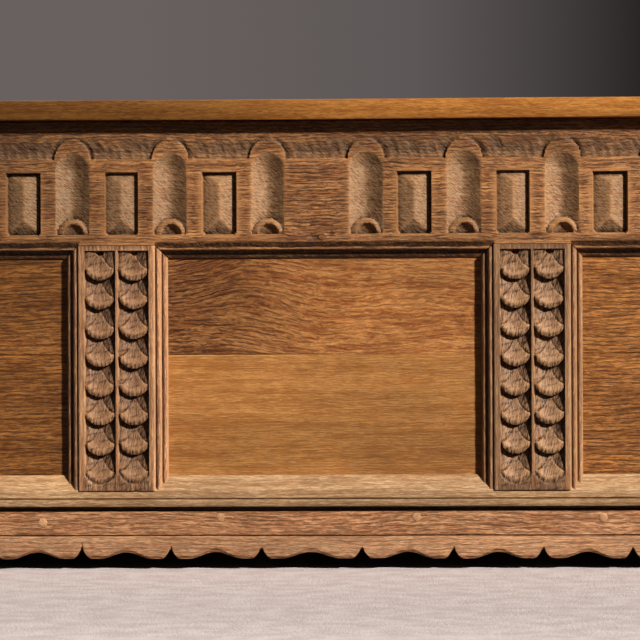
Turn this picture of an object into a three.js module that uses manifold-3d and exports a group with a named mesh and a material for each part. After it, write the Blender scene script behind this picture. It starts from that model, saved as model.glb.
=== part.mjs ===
// A joined oak coffer chest: a front of three panels between carved muntins under a fluted
// frieze rail, plain framed back and ends on four posts, a boarded floor, and a plank lid on
// two iron hinges. Millimetres, +X along the length, +Y to the back, +Z up. The origin is
// under the middle of the whole chest, on the floor.
import * as THREE from "three";
import { mergeVertices } from "three/addons/utils/BufferGeometryUtils.js";
import Module from "manifold-3d";

const wasm = await Module();
wasm.setup();

// Clearances, and how far a cutter runs past what it cuts
const FIT = 0.3; // round tenons, panels, boards and shoulders
const LID_REST_GAP = 0.3; // between the lid and the top of the frames
const KNUCKLE_GAP = 0.5; // between knuckles, and round the barrel
const OVERRUN = 5;

// The body
const PANEL_COUNT = 3;
const PANEL_WIDTH = 377; // seen between the mouldings
const PANEL_HEIGHT = 262; // seen between the moulding and the sill
const PANEL_THICKNESS = 10;
const PANEL_SETBACK = 15; // of a front panel, behind the face of the frame
const PANEL_JOINT_HEIGHT = 145; // of the joint between a panel's two boards, above the sill
const GROOVE_DEPTH = 10;
const MOULDING_WIDTH = 15;
const MOULDING_DEPTH = 13;
const MUNTIN_FACE = 92;
const MUNTIN_PROUD = 2;
const STILE_FACE = 100;
const POST_DEPTH = 50;
const RAIL_THICKNESS = 32;
const TENON_LENGTH = 40;
const TENON_SHOULDER = 10;
const BODY_DEPTH = 500;

// The front's rails
const TOP_RAIL_HEIGHT = 165;
const SILL_RISE = 18;
const SILL_STRIP = 11;
const SCRATCH_HEIGHT = 1.5;
const SCRATCH_DEPTH = 2;
const BEAD_HEIGHT = 7;
const BEAD_PROUD = 1.5;
const BOTTOM_RAIL_THICKNESS = 40;
const TONGUE_DROP = 41; // of the bottom rail's thin part, behind the apron

// The apron
const APRON_FLOOR_GAP = 13;
const APRON_HEIGHT = 57;
const APRON_TOP_GAP = 6;
const APRON_SETBACK = 6;
const APRON_THICKNESS = 18;
const SCALLOP_PITCH = 109;
const SCALLOP_SHIFT = -16; // of the middle arch, handmade and off centre
const CUSP_RISE = 14;
const ARCH_RISE = 8;
const SCALLOP_CUSP_SHARE = 0.15;
const SCALLOP_LOBE_SHARE = 0.26;
const APRON_PEG_INSET = 132.5; // of the end pegs, from the ends of the apron
const APRON_PEG_DROP = 13; // of a peg's middle, below the apron's top
// How far each peg is off that place, along the apron and up, because they were bored by eye
const APRON_PEG_SHIFTS = [[-3, 1], [2, 0], [-12, 6], [-4, 6], [-8, 5], [4, 0]];
const PEG_DIAMETER = 11;

// The frieze on the top rail, its heights measured down from the rail's top
const MOTIF_PITCH = 117.5; // from flute to flute, with a sunk pyramid between
const FRIEZE_SHIFT = -8.5; // handmade and off centre
const ARCH_DROP = 27;
const ARCH_WIDTH = 45.6;
const ARCH_TUCK = 0.6; // of an arch's head into the plain strip over it
const GROUND_HEIGHT = 18;
const GROUND_DEPTH = 3;
const FLUTE_WIDTH = 41;
const FLUTE_DEPTH = 9;
const FLUTE_DROP = 38;
const FLUTE_FOOT_RADIUS = 19; // of the half disc left standing at a flute's foot
const SCOOP_RADIUS = 12.5; // of the hollow in that half disc
const SCOOP_DEPTH = 6;
const FRIEZE_FOOT_RISE = 28; // of the flutes and pyramids, above the rail's lower edge
const PYRAMID_WIDTH = 40;
const PYRAMID_DROP = 63;
const PYRAMID_DEPTH = 5;
const PYRAMID_HIP = 18; // from an end of the rectangle to the ridge
const PYRAMID_SINK = 0.5; // of its ridge, behind the face
const FRIEZE_PEG_RISE = 25; // above the rail's lower edge
const FRIEZE_PEG_SHIFT = -1;

// The scales on the muntins and posts
const SCALE_ROWS = 8;
const SCALE_WIDTH = 37;
const SCALE_SPINE = 4; // between the two columns
const SCALE_SINK = 7;
const SCALE_FALL = 5; // how far a scale's face falls back from its foot to its top
const SCALE_LIP = 1; // of a scale's lower edge, behind the face
const SCALE_TUCK = 1; // of a scale past its column's sides
const SCALE_TOP_MARGIN = 7; // plain strip over the scales
const SCALE_FOOT_MARGIN = 8; // from the sill's front edge up to the lowest scale

// Back and end frames
const END_TOP_RAIL_HEIGHT = 120;
const BACK_TOP_RAIL_HEIGHT = 110;
const PLAIN_RAIL_FLOOR_GAP = 40; // under the bottom rails of the back and the ends
const PLAIN_PANEL_SETBACK = 11;
const END_MUNTIN_WIDTH = 90;
const BACK_MUNTIN_WIDTH = 100;
const PLAIN_RAIL_THICKNESS = 30;

// The floor
const FLOOR_BOARD_COUNT = 6;
const FLOOR_BOARD_THICKNESS = 15;
const FLOOR_GROOVE_DEPTH = 7; // in the bottom rails
const FLOOR_LEDGE = 14; // from the floor's top to the top of the bottom rails

// The lid
const LID_THICKNESS = 24;
const LID_FRONT_OVERHANG = 20;
const LID_END_OVERHANG = 24;
const LID_PLANK_COUNT = 3;
const LID_NOSE_RADIUS = 9;
const CLEAT_WIDTH = 21;
const CLEAT_HEIGHT = 34;
const CLEAT_SETBACK = 30; // from the lid's front edge
const CLEAT_GAP = 2; // from the chest's end

// The hinges
const HINGE_INSET = 282.5; // of a hinge's middle, from the end of the body
const LEAF_WIDTH = 42;
const LEAF_THICKNESS = 3;
const LID_LEAF_LENGTH = 140;
const BACK_LEAF_LENGTH = 80;
const LEAF_POINT = 18; // length of the leaf's tapered end
const LEAF_TIP_WIDTH = 21;
const KNUCKLE_COUNT = 3;
const KNUCKLE_RADIUS = 6.5;
const HINGE_PIN_RADIUS = 3;
const HINGE_PIN_HEAD = 2;

// Facets round a whole circle, and steps along curves
const ROUND_FACETS = 24;
const PEG_FACETS = 12;
const SCALE_STEPS = 6;
const SCALLOP_STEPS = 4;

// The moulding's section from the face's edge to the panel: shares of its width and of its depth
const MOULDING_SHARES = [
  [0, 0.24],
  [0.1, 0.24],
  [0.15, 0.12],
  [0.29, 0.04],
  [0.43, 0.12],
  [0.52, 0.5],
  [0.6, 0.6],
  [0.68, 0.48],
  [0.8, 0.46],
  [0.92, 0.64],
  [1, 1],
];

// Worked out from the sizes above
const muntinWidth = MUNTIN_FACE + 2 * MOULDING_WIDTH;
const muntinPitch = PANEL_WIDTH + muntinWidth;
const openingLength = PANEL_COUNT * PANEL_WIDTH + (PANEL_COUNT - 1) * muntinWidth;
const shoulderLength = openingLength + 2 * MOULDING_WIDTH; // between the stiles' plain faces
const bodyLength = shoulderLength + 2 * STILE_FACE;
const apronTop = APRON_FLOOR_GAP + APRON_HEIGHT;
const beadBottom = apronTop + APRON_TOP_GAP;
const stripBottom = beadBottom + BEAD_HEIGHT + SCRATCH_HEIGHT;
const sillBottom = stripBottom + SILL_STRIP;
const sillTop = sillBottom + SILL_RISE;
const topRailBottom = sillTop + PANEL_HEIGHT;
const mitreTop = topRailBottom + MOULDING_WIDTH;
const scalesTop = mitreTop - SCALE_TOP_MARGIN;
const scalesBottom = sillBottom + SCALE_FOOT_MARGIN;
const scalePitch = (scalesTop - scalesBottom) / SCALE_ROWS;
const bodyHeight = topRailBottom + TOP_RAIL_HEIGHT;
const lidBottom = bodyHeight + LID_REST_GAP;
const lidLength = bodyLength + 2 * LID_END_OVERHANG;
const barrelReach = 2 * KNUCKLE_RADIUS + KNUCKLE_GAP;
const faceY = (LID_FRONT_OVERHANG - BODY_DEPTH - barrelReach) / 2;
const backY = faceY + BODY_DEPTH;
const floorTop = sillTop - FLOOR_LEDGE;
const floorBottom = floorTop - FLOOR_BOARD_THICKNESS;
const frontGroove = [PANEL_SETBACK - FIT, PANEL_SETBACK + PANEL_THICKNESS + FIT];
const plainGroove = [PLAIN_PANEL_SETBACK - FIT, PLAIN_PANEL_SETBACK + PANEL_THICKNESS + FIT];

// Colours, and how rough and metallic each finish is
const OAK_BROWN = { color: 0x84552f, roughness: 0.55, metalness: 0 };
const OAK_GOLD = { color: 0xa8713a, roughness: 0.45, metalness: 0 };
const OAK_PALE = { color: 0xb08a66, roughness: 0.7, metalness: 0 };
const OAK_DRY = { color: 0x8f7354, roughness: 0.85, metalness: 0 };
const PEG_OAK = { color: 0xcda273, roughness: 0.7, metalness: 0 };
const IRON = { color: 0x2e2b29, roughness: 0.6, metalness: 0.9 };

// Solids from three.js geometry, and the few ways this chest joins and cuts them

function solid(geometry) {
  const plain = geometry.index ? geometry.toNonIndexed() : geometry.clone();
  plain.deleteAttribute("normal");
  plain.deleteAttribute("uv");
  const merged = mergeVertices(plain);
  const vertProperties = merged.attributes.position.array;
  const triVerts = new Uint32Array(merged.index.array);
  return new wasm.Manifold(new wasm.Mesh({ numProp: 3, vertProperties, triVerts }));
}

const join = (first, ...rest) => rest.reduce((sum, piece) => sum.add(piece), first);
const cut = (first, ...rest) => rest.reduce((left, piece) => left.subtract(piece), first);

// A block from three ranges.
function block([x0, x1], [y0, y1], [z0, z1]) {
  const geometry = new THREE.BoxGeometry(x1 - x0, y1 - y0, z1 - z0);
  return solid(geometry.translate((x0 + x1) / 2, (y0 + y1) / 2, (z0 + z1) / 2));
}

// An outline of [a, b] points pushed along the third axis from one place to another. The axis
// is "x" for a section in y and z, "y" for an outline in x and z, and "z" for a plan in x and y.
function pushed(points, axis, [from, to]) {
  const shape = new THREE.Shape(points.map(([a, b]) => new THREE.Vector2(a, b)));
  const geometry = new THREE.ExtrudeGeometry(shape, { depth: to - from, bevelEnabled: false });
  const [X, Y, Z] = [new THREE.Vector3(1, 0, 0), new THREE.Vector3(0, 1, 0), new THREE.Vector3(0, 0, 1)];
  const turn = new THREE.Matrix4();
  if (axis === "x") turn.makeBasis(Y, Z, X).setPosition(from, 0, 0);
  if (axis === "y") turn.makeBasis(X, Z, Y.negate()).setPosition(0, to, 0);
  if (axis === "z") turn.setPosition(0, 0, from);
  return solid(geometry.applyMatrix4(turn));
}

// A round bar along an axis, from one place to another; its centre is given in the other two.
function bar(radius, axis, [from, to], [a, b], facets = ROUND_FACETS) {
  const geometry = new THREE.CylinderGeometry(radius, radius, to - from, facets);
  geometry.translate(0, (from + to) / 2, 0);
  if (axis === "x") geometry.rotateZ(-Math.PI / 2).translate(0, a, b);
  if (axis === "y") geometry.translate(a, 0, b);
  if (axis === "z") geometry.rotateX(Math.PI / 2).translate(a, b, 0);
  return solid(geometry);
}

// The same outline mirrored left to right and closed with the first half.
const mirrored = (half) => [...half, ...half.map(([a, b]) => [-a, b]).reverse()];

// A range on one side of zero, from two distances.
const across = (side, near, far) => (side < 0 ? [-far, -near] : [near, far]);

const evenly = (count, pitch, middle = 0) =>
  Array.from({ length: count }, (_, i) => middle + (i - (count - 1) / 2) * pitch);

// The places of a repeat that fit within a length either side of zero, kept whole.
function fitting(pitch, offset, halfWidth, halfLength) {
  const reach = Math.ceil(halfLength / pitch) + 1;
  const places = Array.from({ length: 2 * reach + 1 }, (_, i) => offset + (i - reach) * pitch);
  return places.filter((x) => Math.abs(x) + halfWidth < halfLength);
}

const root = new THREE.Group();

// A sub-assembly with its own frame: x along it, y inwards from its face, z up.
function assembly(x, y, turn = 0, parent = root) {
  const group = new THREE.Group();
  group.position.set(x, y, 0);
  group.rotation.z = turn;
  group.updateMatrix();
  parent.add(group);
  return group;
}

function place(group, name, piece, finish) {
  const { numProp, vertProperties, triVerts } = piece.getMesh();
  const position = new Float32Array((vertProperties.length / numProp) * 3);
  for (let i = 0; i < position.length / 3; i++)
    position.set(vertProperties.subarray(i * numProp, i * numProp + 3), i * 3);
  const geometry = new THREE.BufferGeometry();
  geometry.setAttribute("position", new THREE.BufferAttribute(position, 3));
  geometry.setIndex(new THREE.BufferAttribute(triVerts, 1));
  const mesh = new THREE.Mesh(geometry, new THREE.MeshStandardMaterial(finish));
  mesh.name = name;
  group.add(mesh);
}

const front = assembly(0, faceY);
const back = assembly(0, backY, Math.PI);
const leftEnd = assembly(-bodyLength / 2, faceY + BODY_DEPTH / 2, -Math.PI / 2);
const rightEnd = assembly(bodyLength / 2, faceY + BODY_DEPTH / 2, Math.PI / 2);

// The front's shared sections and outlines

// The moulding from the face's edge to the panel, as [across, depth] points.
const moulding = MOULDING_SHARES.map(([a, d]) => [a * MOULDING_WIDTH, d * MOULDING_DEPTH]);

// The outline seen from the front of a member that is mitred into the top rail.
function mitred(halfFace, bottom, gap) {
  const top = mitreTop - gap;
  const half = [
    [halfFace + MOULDING_WIDTH, bottom],
    [halfFace + MOULDING_WIDTH, top - MOULDING_WIDTH],
    [halfFace, top],
  ];
  return mirrored(half);
}

// The bottom rail's section in depth and height.
function bottomRailSection() {
  const [grooveFront, grooveBack] = frontGroove;
  const beadRadius = BEAD_HEIGHT / 2;
  const bead = Array.from({ length: SCALLOP_STEPS + 1 }, (_, i) => {
    const turn = Math.PI * (i / SCALLOP_STEPS - 1 / 2);
    return [-BEAD_PROUD * Math.cos(turn), beadBottom + beadRadius * (1 + Math.sin(turn))];
  });
  const tongueBottom = apronTop - TONGUE_DROP;
  const tongueFront = APRON_SETBACK + APRON_THICKNESS + FIT;
  const floorGrooveFront = BOTTOM_RAIL_THICKNESS - FLOOR_GROOVE_DEPTH;
  return [
    ...bead,
    [SCRATCH_DEPTH, beadBottom + BEAD_HEIGHT],
    [SCRATCH_DEPTH, stripBottom],
    [0, stripBottom],
    [0, sillBottom],
    [MOULDING_DEPTH, sillTop],
    [grooveFront, sillTop],
    [grooveFront, sillTop - GROOVE_DEPTH],
    [grooveBack, sillTop - GROOVE_DEPTH],
    [grooveBack, sillTop],
    [BOTTOM_RAIL_THICKNESS, sillTop],
    [BOTTOM_RAIL_THICKNESS, floorTop + FIT],
    [floorGrooveFront, floorTop + FIT],
    [floorGrooveFront, floorBottom - FIT],
    [BOTTOM_RAIL_THICKNESS, floorBottom - FIT],
    [BOTTOM_RAIL_THICKNESS, tongueBottom],
    [tongueFront, tongueBottom],
    [tongueFront, beadBottom],
  ];
}

// Everything under the sill's slope, to cut the foot of a member that is scribed over it.
function underSill() {
  const outline = [
    [-MUNTIN_PROUD - OVERRUN, sillBottom + FIT],
    [0, sillBottom + FIT],
    [MOULDING_DEPTH, sillTop + FIT],
    [POST_DEPTH + OVERRUN, sillTop + FIT],
    [POST_DEPTH + OVERRUN, beadBottom],
    [-MUNTIN_PROUD - OVERRUN, beadBottom],
  ];
  return pushed(outline, "x", [-bodyLength, bodyLength]);
}

// The carving of the muntins and posts: columns of overlapping scales

const tongueRadius = SCALE_WIDTH / 2 + SCALE_TUCK;

// A strip's outline with a round foot, down to its straight top.
function roundFooted(x, radius, centre, top) {
  const foot = Array.from({ length: SCALE_STEPS + 1 }, (_, i) => {
    const turn = Math.PI * (1 + i / SCALE_STEPS);
    return [x + radius * Math.cos(turn), centre + radius * Math.sin(turn)];
  });
  return [...foot, [x + radius, top], [x - radius, top]];
}

// One scale's tongue: a slab with a round foot whose face slopes back as it rises. It is a
// little wider than its column, whose sides trim it.
function scaleTongue(x, bottom, faceDepth) {
  const top = bottom + scalePitch + tongueRadius;
  const outline = roundFooted(x, tongueRadius, bottom + tongueRadius, top);
  const tongue = pushed(outline, "y", [faceDepth, faceDepth + SCALE_SINK + OVERRUN]);
  const slope = SCALE_FALL / (top - bottom);
  const lean = new THREE.Matrix4().makeShear(0, 0, 0, 0, 0, slope);
  lean.setPosition(0, SCALE_LIP - slope * bottom, 0);
  return tongue.transform(lean.elements);
}

// Cuts two columns of scales into a member's face, by what lies round and over the scales.
// A column's own foot lies inside its lowest scale's, which is only set in by the lip.
function carveScales(member, x, faceDepth) {
  const sunk = [faceDepth - OVERRUN, faceDepth + SCALE_SINK];
  const cutters = evenly(2, SCALE_WIDTH + SCALE_SPINE, x).map((middle) => {
    const column = roundFooted(middle, SCALE_WIDTH / 2, scalesBottom + tongueRadius, scalesTop);
    const scales = Array.from({ length: SCALE_ROWS }, (_, row) =>
      scaleTongue(middle, scalesBottom + row * scalePitch, faceDepth),
    );
    return cut(pushed(column, "y", sunk), ...scales);
  });
  return cut(member, ...cutters);
}

// The muntins of the front

const frontTenon = [PANEL_SETBACK, PANEL_SETBACK + PANEL_THICKNESS];
const tenonHalf = MUNTIN_FACE / 2 - TENON_SHOULDER;

function frontMuntin(x) {
  const half = MUNTIN_FACE / 2;
  const [grooveFront, grooveBack] = frontGroove;
  const outer = half + MOULDING_WIDTH;
  const section = mirrored([
    [half, -MUNTIN_PROUD],
    ...moulding.map(([a, d]) => [half + a, d]),
    [outer, grooveFront],
    [outer - GROOVE_DEPTH, grooveFront],
    [outer - GROOVE_DEPTH, grooveBack],
    [outer, grooveBack],
    [outer, RAIL_THICKNESS],
  ]);
  const stock = pushed(section, "z", [beadBottom + FIT, mitreTop + OVERRUN]);
  const outline = pushed(mitred(half, beadBottom, FIT), "y", [-MUNTIN_PROUD - OVERRUN, POST_DEPTH]);
  const shaped = cut(carveScales(stock.intersect(outline), 0, -MUNTIN_PROUD), underSill());
  const tenonEnds = [sillTop - TENON_LENGTH + TENON_SHOULDER, mitreTop + TENON_LENGTH];
  const tenon = block([-tenonHalf, tenonHalf], frontTenon, tenonEnds);
  return join(shaped, tenon).translate([x, 0, 0]);
}

// The hole for a muntin's tenon in a rail of the front.
function muntinMortise(x) {
  const wide = tenonHalf + FIT;
  const tall = [sillTop - TENON_LENGTH + TENON_SHOULDER - FIT, mitreTop + TENON_LENGTH + FIT];
  return block([x - wide, x + wide], frontGroove, tall);
}

const muntinPlaces = evenly(PANEL_COUNT - 1, muntinPitch);
["left", "right"].forEach((side, i) => {
  place(front, "front_muntin_" + side, frontMuntin(muntinPlaces[i]), OAK_PALE);
});

// The top rail and its frieze

// A flute's cutter: a lathe-turned bar with a round head, sunk to the flute's depth, that ends
// on a half disc left standing at its foot.
function fluteCutter(x, top, bottom) {
  const half = FLUTE_WIDTH / 2;
  const radius = (half * half + FLUTE_DEPTH * FLUTE_DEPTH) / (2 * FLUTE_DEPTH);
  const headBase = top - half;
  const quarter = ROUND_FACETS / 4;
  const head = Array.from({ length: quarter }, (_, i) => {
    const turn = (i / quarter) * (Math.PI / 2);
    return new THREE.Vector2(radius * Math.cos(turn), headBase + radius * Math.sin(turn));
  });
  const profile = [
    new THREE.Vector2(0, bottom),
    new THREE.Vector2(radius, bottom),
    ...head,
    new THREE.Vector2(0, headBase + radius),
  ];
  const turned = new THREE.LatheGeometry(profile, ROUND_FACETS).rotateX(Math.PI / 2);
  const channel = solid(turned.translate(x, FLUTE_DEPTH - radius, 0));
  return cut(channel, bar(FLUTE_FOOT_RADIUS, "y", [-2 * radius, 2 * radius], [x, bottom]));
}

// A hipped pyramid standing in its sunk rectangle, as what is cut away round it.
function pyramidCutter(x, top, bottom) {
  const halfWidth = PYRAMID_WIDTH / 2;
  const sunk = block([x - halfWidth, x + halfWidth], [-OVERRUN, PYRAMID_DEPTH], [bottom, top]);
  const base = [
    [x - halfWidth, PYRAMID_DEPTH, bottom],
    [x + halfWidth, PYRAMID_DEPTH, bottom],
    [x + halfWidth, PYRAMID_DEPTH, top],
    [x - halfWidth, PYRAMID_DEPTH, top],
  ];
  const ridge = [
    [x, PYRAMID_SINK, bottom + PYRAMID_HIP],
    [x, PYRAMID_SINK, top - PYRAMID_HIP],
  ];
  const geometry = new THREE.BufferGeometry();
  const corners = [...base, ...ridge].flat();
  geometry.setAttribute("position", new THREE.Float32BufferAttribute(corners, 3));
  geometry.setIndex([0, 1, 4, 1, 2, 5, 1, 5, 4, 2, 3, 5, 3, 0, 4, 3, 4, 5, 0, 3, 2, 0, 2, 1]);
  return cut(sunk, solid(geometry));
}

// The sunk ground between two arches, as what is cut away.
function groundCutter(fromX, toX, top) {
  const radius = ARCH_WIDTH / 2;
  const ground = block([fromX, toX], [-OVERRUN, GROUND_DEPTH], [top - GROUND_HEIGHT, top]);
  const heads = [fromX, toX].map((x) =>
    bar(radius, "y", [-2 * OVERRUN, GROUND_DEPTH + OVERRUN], [x, top - radius + ARCH_TUCK]),
  );
  return cut(ground, ...heads);
}

function frontTopRail() {
  const [grooveFront, grooveBack] = frontGroove;
  const section = [
    [0, bodyHeight],
    [0, mitreTop],
    ...moulding.map(([a, d]) => [d, mitreTop - a]),
    [grooveFront, topRailBottom],
    [grooveFront, topRailBottom + GROOVE_DEPTH],
    [grooveBack, topRailBottom + GROOVE_DEPTH],
    [grooveBack, topRailBottom],
    [RAIL_THICKNESS, topRailBottom],
    [RAIL_THICKNESS, bodyHeight],
  ];
  const reach = shoulderLength / 2 - FIT;
  const stock = pushed(section, "x", [-reach, reach]);
  const ends = mirrored([
    [reach - MOULDING_WIDTH, topRailBottom - OVERRUN],
    [reach - MOULDING_WIDTH, topRailBottom],
    [reach, mitreTop],
    [reach, bodyHeight + OVERRUN],
  ]);
  let rail = stock.intersect(pushed(ends, "y", [-OVERRUN, RAIL_THICKNESS + OVERRUN]));
  const seat = pushed(mitred(MUNTIN_FACE / 2, topRailBottom - OVERRUN, 0), "y", [-OVERRUN, POST_DEPTH]);
  rail = cut(rail, ...muntinPlaces.map((x) => seat.translate([x, 0, 0])));
  const tenonHeights = [topRailBottom + TENON_SHOULDER + MOULDING_WIDTH, bodyHeight - TENON_SHOULDER];
  rail = join(rail, block([-reach - TENON_LENGTH, reach + TENON_LENGTH], frontTenon, tenonHeights));
  rail = cut(rail, ...muntinPlaces.map(muntinMortise));
  const hole = pegHole(FRIEZE_PEG_SHIFT, topRailBottom + FRIEZE_PEG_RISE, RAIL_THICKNESS);
  return cut(rail, ...friezeCutters(), hole);
}

function friezeCutters() {
  const reach = shoulderLength / 2 - MOULDING_WIDTH;
  const flutes = fitting(MOTIF_PITCH, FRIEZE_SHIFT + MOTIF_PITCH / 2, ARCH_WIDTH / 2, reach);
  const blocks = fitting(MOTIF_PITCH, FRIEZE_SHIFT, PYRAMID_WIDTH / 2, reach);
  const foot = topRailBottom + FRIEZE_FOOT_RISE;
  const archTop = bodyHeight - ARCH_DROP;
  const pastEnd = shoulderLength / 2 + ARCH_WIDTH; // the ground runs out at the rail's ends
  return [
    ...flutes.map((x) => fluteCutter(x, bodyHeight - FLUTE_DROP, foot)),
    ...flutes.map((x) => scoopCutter(x, foot)),
    ...[...flutes, pastEnd].map((x, i) => groundCutter([-pastEnd, ...flutes][i], x, archTop)),
    ...blocks
      .filter((x) => x !== FRIEZE_SHIFT) // the middle block is plain
      .map((x) => pyramidCutter(x, bodyHeight - PYRAMID_DROP, foot)),
  ];
}

// The hollow in the half disc at a flute's foot: half a bowl over the foot's straight base.
function scoopCutter(x, bottom) {
  const ball = new THREE.SphereGeometry(SCOOP_RADIUS, PEG_FACETS, PEG_FACETS / 2);
  ball.rotateX(Math.PI / 2).scale(1, SCOOP_DEPTH / SCOOP_RADIUS, 1).translate(x, 0, bottom);
  const reach = 2 * SCOOP_RADIUS;
  return cut(solid(ball), block([x - reach, x + reach], [-reach, reach], [bottom - reach, bottom]));
}

// A round hole for a peg through a board, in from the face.
function pegHole(x, z, depth) {
  return bar(PEG_DIAMETER / 2 + FIT, "y", [-OVERRUN, depth + OVERRUN], [x, z], PEG_FACETS);
}

const friezePeg = bar(
  PEG_DIAMETER / 2,
  "y",
  [0, RAIL_THICKNESS],
  [FRIEZE_PEG_SHIFT, topRailBottom + FRIEZE_PEG_RISE],
  PEG_FACETS,
);
place(front, "front_top_rail", frontTopRail(), OAK_BROWN);
place(front, "frieze_peg", friezePeg, PEG_OAK);

// The bottom rail, the apron below it and the pegs that hold it

const railTenonHeights = [beadBottom + FIT, sillTop - GROOVE_DEPTH - FIT];
const apronPegCount = 2 * PANEL_COUNT;
const apronPegPitch = (shoulderLength - 2 * APRON_PEG_INSET) / (apronPegCount - 1);
const apronPegs = evenly(apronPegCount, apronPegPitch).map((x, i) => {
  const [along, up] = APRON_PEG_SHIFTS[i] ?? [0, 0];
  return [x + along, apronTop - APRON_PEG_DROP + up];
});

function frontBottomRail() {
  const reach = shoulderLength / 2 - FIT;
  const rail = pushed(bottomRailSection(), "x", [-reach, reach]);
  const tenon = block([-reach - TENON_LENGTH, reach + TENON_LENGTH], frontTenon, railTenonHeights);
  const holes = apronPegs.map(([x, z]) => pegHole(x, z, BOTTOM_RAIL_THICKNESS));
  return cut(join(rail, tenon), ...muntinPlaces.map(muntinMortise), ...holes);
}

// How high the apron's lower edge stands at a place along it.
function scallopHeight(x) {
  const turns = Math.abs(x - SCALLOP_SHIFT) / SCALLOP_PITCH;
  const fromCusp = Math.abs((turns % 1) - 1 / 2);
  if (fromCusp < SCALLOP_CUSP_SHARE)
    return CUSP_RISE * (1 - Math.sin((fromCusp / SCALLOP_CUSP_SHARE) * (Math.PI / 2)));
  if (fromCusp < SCALLOP_LOBE_SHARE) return 0;
  const climb = (fromCusp - SCALLOP_LOBE_SHARE) / (1 / 2 - SCALLOP_LOBE_SHARE);
  return (ARCH_RISE * (1 - Math.cos(climb * Math.PI))) / 2;
}

function frontApron() {
  const reach = shoulderLength / 2 - FIT;
  const arcShares = Array.from({ length: SCALLOP_STEPS }, (_, i) => (i / SCALLOP_STEPS) * SCALLOP_CUSP_SHARE);
  const ogeeSteps = Array.from({ length: SCALLOP_STEPS + 1 }, (_, i) => i / SCALLOP_STEPS);
  const ogeeShares = ogeeSteps.map((t) => SCALLOP_LOBE_SHARE + t * (1 / 2 - SCALLOP_LOBE_SHARE));
  const halfShares = [...arcShares, SCALLOP_CUSP_SHARE, ...ogeeShares];
  const cusps = fitting(SCALLOP_PITCH, SCALLOP_SHIFT + SCALLOP_PITCH / 2, 0, reach + SCALLOP_PITCH);
  const along = cusps.flatMap((x) => [
    ...halfShares.slice(1, -1).map((share) => x - share * SCALLOP_PITCH).reverse(),
    ...halfShares.map((share) => x + share * SCALLOP_PITCH),
  ]);
  const inside = [-reach, ...along.filter((x) => Math.abs(x) < reach - FIT), reach];
  const edge = inside.map((x) => [x, APRON_FLOOR_GAP + scallopHeight(x)]);
  const outline = [...edge, [reach, apronTop], [-reach, apronTop]];
  const board = pushed(outline, "y", [APRON_SETBACK, APRON_SETBACK + APRON_THICKNESS]);
  return cut(board, ...apronPegs.map(([x, z]) => pegHole(x, z, BOTTOM_RAIL_THICKNESS)));
}

place(front, "front_bottom_rail", frontBottomRail(), OAK_BROWN);
place(front, "front_apron", frontApron(), OAK_PALE);
apronPegs.forEach(([x, z], i) => {
  const length = [APRON_SETBACK, BOTTOM_RAIL_THICKNESS];
  const peg = bar(PEG_DIAMETER / 2, "y", length, [x, z], PEG_FACETS);
  place(front, "apron_peg_" + (i + 1), peg, PEG_OAK);
});

// The front's panels, each of two boards

const tuck = GROOVE_DEPTH - FIT;
evenly(PANEL_COUNT, muntinPitch).forEach((x, i) => {
  const wide = [x - PANEL_WIDTH / 2 - tuck, x + PANEL_WIDTH / 2 + tuck];
  const joint = sillTop + PANEL_JOINT_HEIGHT;
  const name = "front_panel_" + (["left", "centre", "right"][i] ?? i + 1);
  place(front, name + "_lower", block(wide, frontTenon, [sillTop - tuck, joint]), OAK_GOLD);
  place(front, name + "_upper", block(wide, frontTenon, [joint + FIT, topRailBottom + tuck]), OAK_GOLD);
});

// The plain frames of the back and the ends. Each is described by its shoulder length, its
// rails and its muntins, in its own frame.

const plainTenon = [PLAIN_PANEL_SETBACK, PLAIN_PANEL_SETBACK + PANEL_THICKNESS];
const endLength = BODY_DEPTH - 2 * POST_DEPTH;
const backStile = STILE_FACE + MOULDING_WIDTH;
const backLength = bodyLength - 2 * backStile;
const backFrame = {
  length: backLength,
  topRail: [bodyHeight - BACK_TOP_RAIL_HEIGHT, bodyHeight],
  bottomRail: [PLAIN_RAIL_FLOOR_GAP, sillTop],
  thickness: PLAIN_RAIL_THICKNESS,
  muntin: BACK_MUNTIN_WIDTH,
  panels: PANEL_COUNT,
};
const endFrame = {
  length: endLength,
  topRail: [bodyHeight - END_TOP_RAIL_HEIGHT, bodyHeight],
  bottomRail: [PLAIN_RAIL_FLOOR_GAP, sillTop],
  thickness: PLAIN_RAIL_THICKNESS,
  muntin: END_MUNTIN_WIDTH,
  panels: 2,
};

// Where a frame's rail tenons lie, as ranges of height.
const railTenons = ({ topRail, bottomRail }) => [
  [topRail[0] + GROOVE_DEPTH + FIT, topRail[1] - TENON_SHOULDER],
  [bottomRail[0] + TENON_SHOULDER, bottomRail[1] - GROOVE_DEPTH - FIT],
];

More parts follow.
